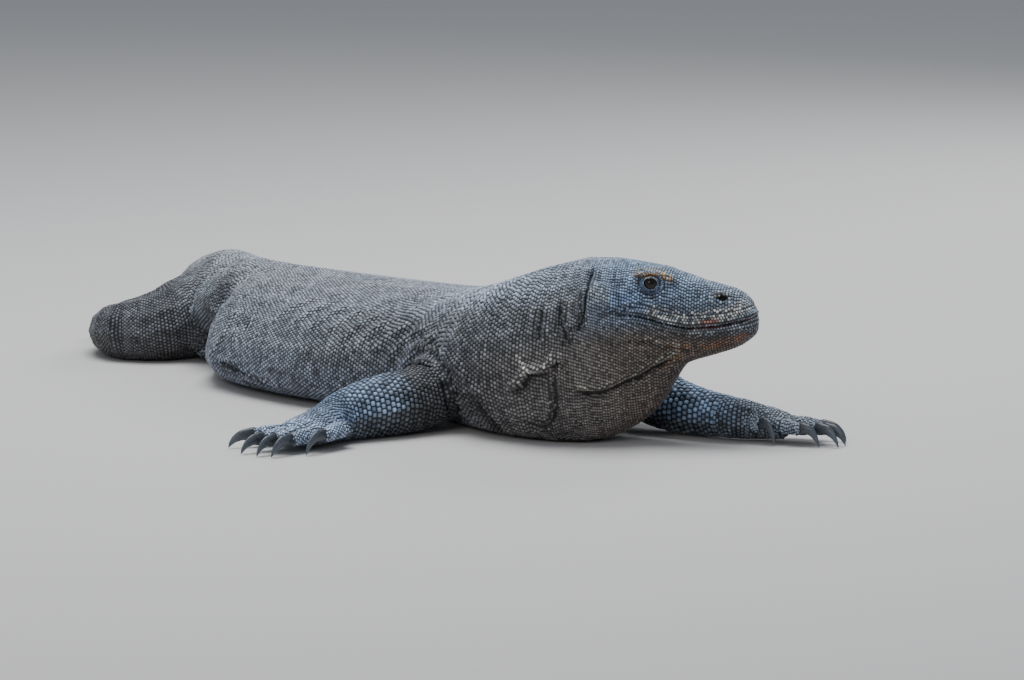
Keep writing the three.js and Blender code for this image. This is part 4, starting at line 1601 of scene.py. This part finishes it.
def limbColour(rows, name):
    kind = name.split("_")[0]
    share = np.clip(rows[:, 8] / rows[:, 8].max(), 0, 1)
    outer, under = coloursAlong(pigment.get(name, pigment[kind]), share)
    # downward-facing scales take the underside colour, partly painted shade
    colours = mixIn(under, outer, smoothStep(rows[:, 12], -0.45, 0.25))
    reach = 0.30 if kind == "hind" else 0.34
    return mixIn(bodyColour(rows[:, :3]), colours, smoothStep(share, 0.02, reach))


def paintScales(tree):
    draw = np.random.default_rng(5)
    painted = {}
    for name, rows in scaleRows.items():
        if "digit" in name:
            limb = name.split("_digit")[0]
            colours = np.tile(np.array(pigment.get(limb, pigment[limb.split("_")[0]])[-1][1]), (len(rows), 1))
        elif "_" in name:
            colours = limbColour(rows, name)
        else:
            colours = bodyColour(rows[:, :3], bodyPath["length"] if name == "tail" else pigment["tailReach"])
        painted[name] = colours
    names = list(painted)
    sizes = [len(painted[name]) for name in names]
    rows = np.vstack([scaleRows[name] for name in names])
    colours = np.vstack([painted[name] for name in names])
    spread = 1 + pigment["spread"] * draw.normal(0, 1, len(colours))
    spread = np.clip(spread, *pigment["spreadLimits"])
    spread[draw.random(len(colours)) < pigment["darkShare"]] *= pigment["darkFactor"]
    chance = draw.random((len(markings), len(colours)))
    for lot, mark in zip(chance, markings.values()):
        path = traceOnSkin(mark["line"], tree, 0.002)
        width = mark["width"] * mm
        for run in (path, otherSide(path, tree)) if mark.get("both") else (path,):
            index, distance, _, _ = nearPath(rows[:, :3], run, 2.2 * width)
            weight = mark["cover"] * np.exp(-(distance / width) ** 4) * (lot[index] < mark["share"])
            colours[index] = mixIn(colours[index], mark["colour"], weight)
    # random tone per scale, times the painted fold shading: painted shade in grooves, painted highlight on
    # ridges
    colours *= (spread * (1 - pigment["creaseShade"] * rows[:, 13]))[:, None]
    return dict(zip(names, np.split(colours, np.cumsum(sizes)[:-1])))


scaleColours = paintScales(skinShape)
print("scales are coloured")


def thinSkin(mesh, foldShading):
    # fewer faces where the skin is even; the painted fold shading goes with the points
    addField(mesh, "crease", "FLOAT", foldShading)
    holder = addObject("thinned", mesh)
    triangles = sum(len(p.vertices) - 2 for p in mesh.polygons)
    modifier = holder.modifiers.new("thin", "DECIMATE")
    modifier.ratio = min(1.0, skinMake["mostTriangles"] / triangles)
    result = evaluated(holder)
    bpy.data.objects.remove(holder)
    return result


def paintSkin(mesh, tree):
    # the skin between the scales: the same markings, darker, partly its own tone and partly painted
    # shade between the scales; painted shade round the eye openings and inside the nostrils
    points, _ = meshArrays(mesh)
    rows = np.vstack(list(scaleRows.values()))
    colours = np.vstack([scaleColours[name] for name in scaleRows])
    near = treeOfPoints(rows[:, :3])
    nearest = np.array([near.find(p)[1] for p in points])
    # darker than the scales: partly its own tone, partly painted shade between the scales
    tint = colours[nearest] * pigment["gapShare"]
    inHead = headFrame(points)
    index = np.nonzero((inHead[:, 0] > 30) & (inHead[:, 2] > 110) & (np.abs(inHead[:, 1]) < 80))[0]
    some = points[index]
    for side in (-1, 1):
        # painted shade round the eye opening
        q = eyeShare(some, side)
        tint[index] = mixIn(tint[index], pigment["socket"], 1 - smoothStep(q, 0.95, 1.15))
        # painted shade inside the nostril
        q = nostrilShare(some, side, tree)
        tint[index] = mixIn(tint[index], pigment["nostril"], 1 - smoothStep(q, 0.8, 1.1))
    gap = np.abs(mouthGap(some))
    inside = (1 - smoothStep(gap, 0.0012, 0.0028)) * smoothStep(inHead[index, 0], 118, 140)
    tint[index] = mixIn(tint[index], pigment["mouth"], inside)
    addPigment(mesh, tint)


foot = -0.35         # a scale's foot is sunk that much of its height
bakePatch = 0.0026   # and it is that wide on its OFBake map


def scaleTemplate(name, ring, crown):
    # a low closed dome one unit across and along
    sides = len(ring)
    verts = [(x, y, foot) for x, y in ring]
    verts += [(x * crown[0], y * crown[0], crown[1]) for x, y in ring]
    verts += [(0.0, -0.05, 1.0)]
    rise = [0.0] * sides + [0.6] * sides + [1.0]
    faces = [tuple(reversed(range(sides)))]
    for k in range(sides):
        j = (k + 1) % sides
        faces.append((k, j, sides + j, sides + k))
        faces.append((sides + k, sides + j, 2 * sides))
    mesh = bpy.data.meshes.new(name)
    mesh.from_pydata(verts, [], faces)
    smoothFaces(mesh)
    layer = mesh.uv_layers.new(name="OFBake")
    for loop in mesh.loops:
        x, y, _ = verts[loop.vertex_index]
        layer.data[loop.index].uv = (x * bakePatch, y * bakePatch)
    addField(mesh, "rise", "FLOAT", rise)
    return bpy.data.objects.new(name, mesh)


hexAngles = [math.pi / 2 + k * math.pi / 3 for k in range(6)]
hexRing = [(0.577 * math.cos(a), 0.577 * math.sin(a)) for a in hexAngles]
plateRing = [(0.5, -0.30), (0.5, 0.30), (0.32, 0.5), (-0.32, 0.5),
             (-0.5, 0.30), (-0.5, -0.30), (-0.32, -0.5), (0.32, -0.5)]
# with the width and the height of each crown's edge
templates = {
    "bead": scaleTemplate("bead", hexRing, (0.78, 0.66)),
    "plate": scaleTemplate("plate", plateRing, (0.80, 0.74)),
}


def turnsFor(normal, lengthway):
    # the turn that stands each scale on the skin, its length along the body
    z = unit(normal)
    y = unit(lengthway - (lengthway * z).sum(1, keepdims=True) * z)
    x = np.cross(y, z)
    turnY = np.arcsin(np.clip(-x[:, 2], -1, 1))
    turnX = np.arctan2(y[:, 2], z[:, 2])
    turnZ = np.arctan2(x[:, 1], x[:, 0])
    return np.stack([turnX, turnY, turnZ], 1)


def scatterTree():
    tree = bpy.data.node_groups.new("scatterScales", "GeometryNodeTree")
    face = tree.interface
    for name, kind in (("Geometry", "NodeSocketGeometry"), ("Scale shape", "NodeSocketObject"),
                       ("Finish", "NodeSocketMaterial"), ("Size jitter", "NodeSocketFloat"),
                       ("Seed", "NodeSocketInt")):
        face.new_socket(name, in_out="INPUT", socket_type=kind)
    face.new_socket("Geometry", in_out="OUTPUT", socket_type="NodeSocketGeometry")
    nodes, links = tree.nodes, tree.links
    start = nodes.new("NodeGroupInput")
    end = nodes.new("NodeGroupOutput")
    place = nodes.new("GeometryNodeInstanceOnPoints")
    shape = nodes.new("GeometryNodeObjectInfo")
    real = nodes.new("GeometryNodeRealizeInstances")
    finish = nodes.new("GeometryNodeSetMaterial")
    store = nodes.new("GeometryNodeStoreNamedAttribute")
    store.data_type = "FLOAT2"
    store.domain = "CORNER"
    store.inputs["Name"].default_value = "OFBake"

    def named(name):
        node = nodes.new("GeometryNodeInputNamedAttribute")
        node.data_type = "FLOAT_VECTOR"
        node.inputs["Name"].default_value = name
        return node.outputs["Attribute"]

    turn = nodes.new("FunctionNodeEulerToRotation")
    links.new(named("turn"), turn.inputs[0])
    jitter = nodes.new("FunctionNodeRandomValue")
    jitter.data_type = "FLOAT"
    smallest, largest = [socket for socket in jitter.inputs if socket.type == "VALUE" and socket.enabled][:2]
    less = nodes.new("ShaderNodeMath")
    less.operation = "SUBTRACT"
    less.inputs[0].default_value = 1.0
    links.new(start.outputs["Size jitter"], less.inputs[1])
    links.new(less.outputs[0], smallest)
    largest.default_value = 1.0
    links.new(start.outputs["Seed"], jitter.inputs["Seed"])
    size = nodes.new("ShaderNodeVectorMath")
    size.operation = "SCALE"
    links.new(named("size"), size.inputs[0])
    links.new([socket for socket in jitter.outputs if socket.type == "VALUE" and socket.enabled][0],
              size.inputs["Scale"])
    links.new(start.outputs["Scale shape"], shape.inputs["Object"])
    links.new(start.outputs["Geometry"], place.inputs["Points"])
    links.new(shape.outputs["Geometry"], place.inputs["Instance"])
    links.new(turn.outputs[0], place.inputs["Rotation"])
    links.new(size.outputs["Vector"], place.inputs["Scale"])
    links.new(place.outputs["Instances"], real.inputs["Geometry"])
    links.new(real.outputs["Geometry"], store.inputs["Geometry"])
    add = nodes.new("ShaderNodeVectorMath")
    links.new(named("OFBake"), add.inputs[0])
    links.new(named("rootUv"), add.inputs[1])
    links.new(add.outputs["Vector"], store.inputs["Value"])
    links.new(store.outputs["Geometry"], finish.inputs["Geometry"])
    links.new(start.outputs["Finish"], finish.inputs["Material"])
    links.new(finish.outputs["Geometry"], end.inputs["Geometry"])
    return tree


scaleTree = scatterTree()


def scatter(name, rows, sizes, colours, roots, template, finish, seed):
    mesh = bpy.data.meshes.new(name + "Roots")
    mesh.from_pydata([tuple(p) for p in rows[:, :3]], [], [])
    fields = {"turn": turnsFor(rows[:, 10:13], rows[:, 3:6]), "size": sizes,
              "rootUv": np.column_stack([roots, np.zeros(len(roots))])}
    for key, values in fields.items():
        addField(mesh, key, "FLOAT_VECTOR", values)
    addPigment(mesh, colours)
    holder = addObject(name + "Roots", mesh)
    modifier = holder.modifiers.new("scales", "NODES")
    modifier.node_group = scaleTree
    sockets = {s.name: s.identifier for s in scaleTree.interface.items_tree if s.in_out == "INPUT"}
    modifier[sockets["Scale shape"]] = template
    modifier[sockets["Finish"]] = finish
    modifier[sockets["Size jitter"]] = scaleLook["sizeJitter"]
    modifier[sockets["Seed"]] = seed
    result = evaluated(holder)
    holder.modifiers.remove(modifier)
    bpy.data.objects.remove(holder)
    result.name = name
    for spare in fields:
        if spare in result.attributes:
            result.attributes.remove(result.attributes[spare])
    piece = addObject(name, result)
    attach(piece, "root")


scaleLook = {
    "sizeJitter": 0.10,
    "cover": 0.90,          # a scale against the room it has
    "height": 0.28,         # against its smaller side
    "mostTriangles": 185000,
    "roughness": (0.30, 0.52),
    "gapShade": 0.06,       # painted shade at a scale's foot and painted highlight on its crown
    "crownShade": 1.55,
}


noiseRange = (0.3, 0.7)   # the part of a noise's values that is spread over a range


def newFinish(name):
    material = bpy.data.materials.new(name)
    material.use_nodes = True
    nodes, links = material.node_tree.nodes, material.node_tree.links
    return material, nodes, links, nodes["Principled BSDF"]


def fieldNode(nodes, name, output="Fac"):
    node = nodes.new("ShaderNodeAttribute")
    node.attribute_name = name
    return node.outputs[output]


def mathNode(nodes, links, operation, *values):
    node = nodes.new("ShaderNodeMath")
    node.operation = operation
    for socket, value in zip(node.inputs, values):
        if isinstance(value, float):
            socket.default_value = value
        else:
            links.new(value, socket)
    return node.outputs[0]


def bumpNode(nodes, links, source, strength, distance, shader):
    bump = nodes.new("ShaderNodeBump")
    bump.inputs["Strength"].default_value = strength
    bump.inputs["Distance"].default_value = distance
    links.new(source, bump.inputs["Height"])
    links.new(bump.outputs["Normal"], shader.inputs["Normal"])


def rampNode(nodes, links, source, stops, shader):
    # the shader's colour by a list of places and colours
    ramp = nodes.new("ShaderNodeValToRGB")
    elements = ramp.color_ramp.elements
    for k, (at, colour) in enumerate(stops):
        stop = elements[k] if k < 2 else elements.new(at)
        stop.position, stop.color = at, (*colour, 1)
    links.new(source, ramp.inputs["Fac"])
    links.new(ramp.outputs["Color"], shader.inputs["Base Color"])


def rangeNode(nodes, links, source, fromRange, toRange):
    node = nodes.new("ShaderNodeMapRange")
    node.inputs["From Min"].default_value, node.inputs["From Max"].default_value = fromRange
    node.inputs["To Min"].default_value, node.inputs["To Max"].default_value = toRange
    links.new(source, node.inputs["Value"])
    return node.outputs["Result"]


def noiseNode(nodes, links, place, scale, detail):
    node = nodes.new("ShaderNodeTexNoise")
    node.inputs["Scale"].default_value = scale
    node.inputs["Detail"].default_value = detail
    links.new(place, node.inputs["Vector"])
    return node.outputs["Fac"]


hideLook = {
    "fineNoise": (480, 2),       # scale and detail
    "mottleNoise": (38, 3),
    "fineShade": (0.86, 1.14),
    "mottleShade": (0.74, 1.26),
    "bump": 0.3,
}


def hideMaterial(name, byRise, roughness, bumpHeight):
    # colour from the painted pigment, broken up by two noises; on scales, painted shade at each
    # scale's foot and a painted highlight on its crown
    material, nodes, links, shader = newFinish(name)
    place = nodes.new("ShaderNodeTexCoord").outputs["Object"]
    fine = noiseNode(nodes, links, place, *hideLook["fineNoise"])
    mottle = noiseNode(nodes, links, place, *hideLook["mottleNoise"])
    shade = rangeNode(nodes, links, mottle, noiseRange, hideLook["mottleShade"])
    grain = rangeNode(nodes, links, fine, noiseRange, hideLook["fineShade"])
    total = mathNode(nodes, links, "MULTIPLY", shade, grain)
    if byRise:
        # painted shade at the foot, painted highlight on the crown
        shades = (scaleLook["gapShade"], scaleLook["crownShade"])
        lift = rangeNode(nodes, links, fieldNode(nodes, "rise"), (0.0, 1.0), shades)
        total = mathNode(nodes, links, "MULTIPLY", total, lift)
    colour = nodes.new("ShaderNodeVectorMath")
    colour.operation = "SCALE"
    links.new(fieldNode(nodes, "pigment", "Color"), colour.inputs[0])
    links.new(total, colour.inputs["Scale"])
    links.new(colour.outputs["Vector"], shader.inputs["Base Color"])
    links.new(rangeNode(nodes, links, fine, noiseRange, roughness), shader.inputs["Roughness"])
    bumpNode(nodes, links, fine, hideLook["bump"], bumpHeight, shader)
    return material


scaleFinish = hideMaterial("scaleFinish", True, scaleLook["roughness"], 0.0004)
skinFinish = hideMaterial("skinFinish", False, (0.45, 0.7), 0.0006)


def isPlate(name):
    return name in ("tail", "lips") or name.startswith("front") or "digit" in name


def makeScales():
    groups = {"head": ["head", "lids"], "lips": ["lips"], "trunk": ["trunk"], "tail": ["tail"]}
    for name in limbs:
        digits = [key for key in scaleRows if key.startswith(name + "_digit")]
        if isPlate(name):
            groups[name] = [name] + digits
        else:
            groups[name] = [name]
            groups[name + "_digits"] = digits
    total = 0
    for seed, (group, members) in enumerate(groups.items()):
        rows = np.vstack([scaleRows[m] for m in members])
        colours = np.vstack([scaleColours[m] for m in members])
        strip = np.concatenate([np.full(len(scaleRows[m]), i) for i, m in enumerate(members)])
        plate = isPlate(members[0])
        smaller = np.minimum(rows[:, 6], rows[:, 7])
        sizes = np.stack([rows[:, 7], rows[:, 6], smaller * scaleLook["height"]], 1) * scaleLook["cover"]
        roots = np.stack([rows[:, 8], 0.02 + 0.96 * (strip + np.clip(rows[:, 9], 0, 1)) / len(members)], 1)
        each = 4 * len(plateRing if plate else hexRing) - 2   # triangles
        pieces = int(math.ceil(len(rows) * each / scaleLook["mostTriangles"]))
        order = np.argsort(rows[:, 8], kind="stable")
        for k, chosen in enumerate(np.array_split(order, pieces)):
            reach = roots[chosen, 0]
            own = roots[chosen].copy()
            own[:, 0] = 0.02 + 0.96 * (reach - reach.min()) / max(np.ptp(reach), 1e-6)
            name = f"scales_{group}" + (f"_{k + 1}" if pieces > 1 else "")
            scatter(name, rows[chosen], sizes[chosen], colours[chosen], own,
                    templates["plate" if plate else "bead"], scaleFinish, seed + 1)
            total += len(chosen) * each
    print("scales are standing, triangles:", total)


makeScales()


eyeLook = {
    "segments": 56,
    "rings": 40,
    "bulge": 0.0006,        # the clear front stands that far out
    "pupil": 0.40,          # against the eye's radius
    "iris": 0.66,
    "pupilColour": (0.004, 0.004, 0.005),
    "irisColours": ((0.014, 0.009, 0.006), (0.036, 0.022, 0.012)),
    "whiteColour": (0.012, 0.009, 0.008),
    "streaks": (900, 3),         # scale and detail
    "streakDepth": 0.10,
    "roughness": 0.07,
    "specular": 0.36,
}


def eyeMaterial():
    material, nodes, links, shader = newFinish("eyeFinish")
    place = nodes.new("ShaderNodeTexCoord").outputs["Object"]
    streak = noiseNode(nodes, links, place, *eyeLook["streaks"])
    depth = eyeLook["streakDepth"]
    wave = mathNode(nodes, links, "MULTIPLY_ADD", streak, depth, fieldNode(nodes, "offAxis"))
    pupil, iris = eyeLook["pupil"] + 0.5 * depth, eyeLook["iris"] + 0.5 * depth
    inner, outer = eyeLook["irisColours"]
    stops = [(pupil, eyeLook["pupilColour"]), (pupil + 0.03, inner), (iris - 0.06, outer),
             (iris, eyeLook["whiteColour"])]
    rampNode(nodes, links, wave, stops, shader)
    shader.inputs["Roughness"].default_value = eyeLook["roughness"]
    shader.inputs["Specular IOR Level"].default_value = eyeLook["specular"]
    return material


def makeEye(name, side, finish):
    centre = eyeCentre(side)
    _, up, out = eyeAxes(side)
    radius = headShape["eyeRadius"] * mm * 0.985
    shape = bmesh.new()
    bmesh.ops.create_uvsphere(shape, u_segments=eyeLook["segments"], v_segments=eyeLook["rings"],
                              radius=radius)
    mesh = bpy.data.meshes.new(name)
    shape.to_mesh(mesh)
    shape.free()
    points, _ = meshArrays(mesh)
    off = np.linalg.norm(points[:, :2], axis=1) / radius
    off = np.where(points[:, 2] > 0, off, 2 - off)
    points[:, 2] += eyeLook["bulge"] * np.exp(-(off / 0.6) ** 4)
    sideways = np.cross(up, out)
    points = centre + points[:, :1] * sideways + points[:, 1:2] * up + points[:, 2:] * out
    setPoints(mesh, points)
    addField(mesh, "offAxis", "FLOAT", off)
    smoothFaces(mesh)
    mesh.materials.append(finish)
    piece = addObject(name + "_ball", mesh)
    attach(piece, "root")
    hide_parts(name)


eyeFinish = eyeMaterial()
makeEye("eye_right", -1, eyeFinish)
makeEye("eye_left", 1, eyeFinish)
print("eyes are in")


clawLook = {
    "rings": 20,
    "sides": 16,
    "keel": 0.22,           # the ridge along the back, against the half height
    "flatten": 0.86,        # narrower than its core in the CAD shape
    "colours": ((0.020, 0.023, 0.029), (0.085, 0.10, 0.122)),
    "grain": (260, 4),           # scale and detail
    "wear": 0.55,
    "roughness": (0.22, 0.42),
    "bump": (0.25, 0.0003),
}


def clawMaterial():
    # darker at the root, worn paler towards the tip
    material, nodes, links, shader = newFinish("clawFinish")
    place = nodes.new("ShaderNodeTexCoord").outputs["Object"]
    grain = noiseNode(nodes, links, place, *clawLook["grain"])
    wear = mathNode(nodes, links, "MULTIPLY_ADD", grain, clawLook["wear"], fieldNode(nodes, "reach"))
    rampNode(nodes, links, wear, list(zip((0.25, 1.0), clawLook["colours"])), shader)
    links.new(rangeNode(nodes, links, grain, noiseRange, clawLook["roughness"]), shader.inputs["Roughness"])
    bumpNode(nodes, links, grain, *clawLook["bump"], shader)
    return material


def makeClaw(name, nail, finish):
    rings, sides = clawLook["rings"], clawLook["sides"]
    x, y, z, halfWidth, halfHeight = smoothPath(nail, rings).T
    centres = np.stack([x, y, z], 1)
    forward = unit(np.gradient(centres, axis=0))
    flat = unit(np.stack([-forward[:, 1], forward[:, 0], 0 * x], 1))
    flat[:] = unit(flat.mean(0))
    up = unit(np.cross(forward, flat))
    verts, reach = [], []
    for k in range(rings):
        for j in range(sides):
            angle = 2 * math.pi * j / sides
            c, s = math.cos(angle), math.sin(angle)
            high = s * (1 + clawLook["keel"] * max(0, s) ** 3)
            across = flat[k] * c * halfWidth[k] * clawLook["flatten"]
            point = centres[k] + across + up[k] * high * halfHeight[k]
            verts.append((point[0], point[1], max(point[2], 0.0003)))
            reach.append(k / (rings - 1))
    verts += [tuple(centres[0]), tuple(centres[-1] + forward[-1] * 0.0004)]
    reach += [0.0, 1.0]
    faces = []
    for k in range(rings - 1):
        for j in range(sides):
            a, b = k * sides + j, k * sides + (j + 1) % sides
            faces.append((a, b, b + sides, a + sides))
    base, tip = rings * sides, rings * sides + 1
    last = (rings - 1) * sides
    for j in range(sides):
        faces.append((base, (j + 1) % sides, j))
        faces.append((tip, last + j, last + (j + 1) % sides))
    mesh = bpy.data.meshes.new(name)
    mesh.from_pydata(verts, [], faces)
    shape = bmesh.new()
    shape.from_mesh(mesh)
    bmesh.ops.recalc_face_normals(shape, faces=shape.faces)
    shape.to_mesh(mesh)
    shape.free()
    addField(mesh, "reach", "FLOAT", reach)
    smoothFaces(mesh)
    mesh.materials.append(finish)
    piece = addObject(name + "_nail", mesh)
    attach(piece, "root")
    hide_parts(name)


clawFinish = clawMaterial()
for limbName, limb in limbs.items():
    for k, digit in enumerate(limb["digits"]):
        makeClaw(f"{limbName}_claw_{k + 1}", digitRows(digit, limb["thick"])[1], clawFinish)
print("claws are on")


def makeSkinPiece():
    mesh = thinSkin(skinMesh, skinFoldShading)
    mesh.name = "skin"
    paintSkin(mesh, skinShape)
    smoothFaces(mesh)
    mesh.materials.clear()
    mesh.materials.append(skinFinish)
    piece = addObject("skin", mesh)
    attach(piece, "root")
    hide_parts(*[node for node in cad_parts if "claw" not in node and "eye" not in node])
    print("skin is on:", len(mesh.polygons), "faces")


makeSkinPiece()
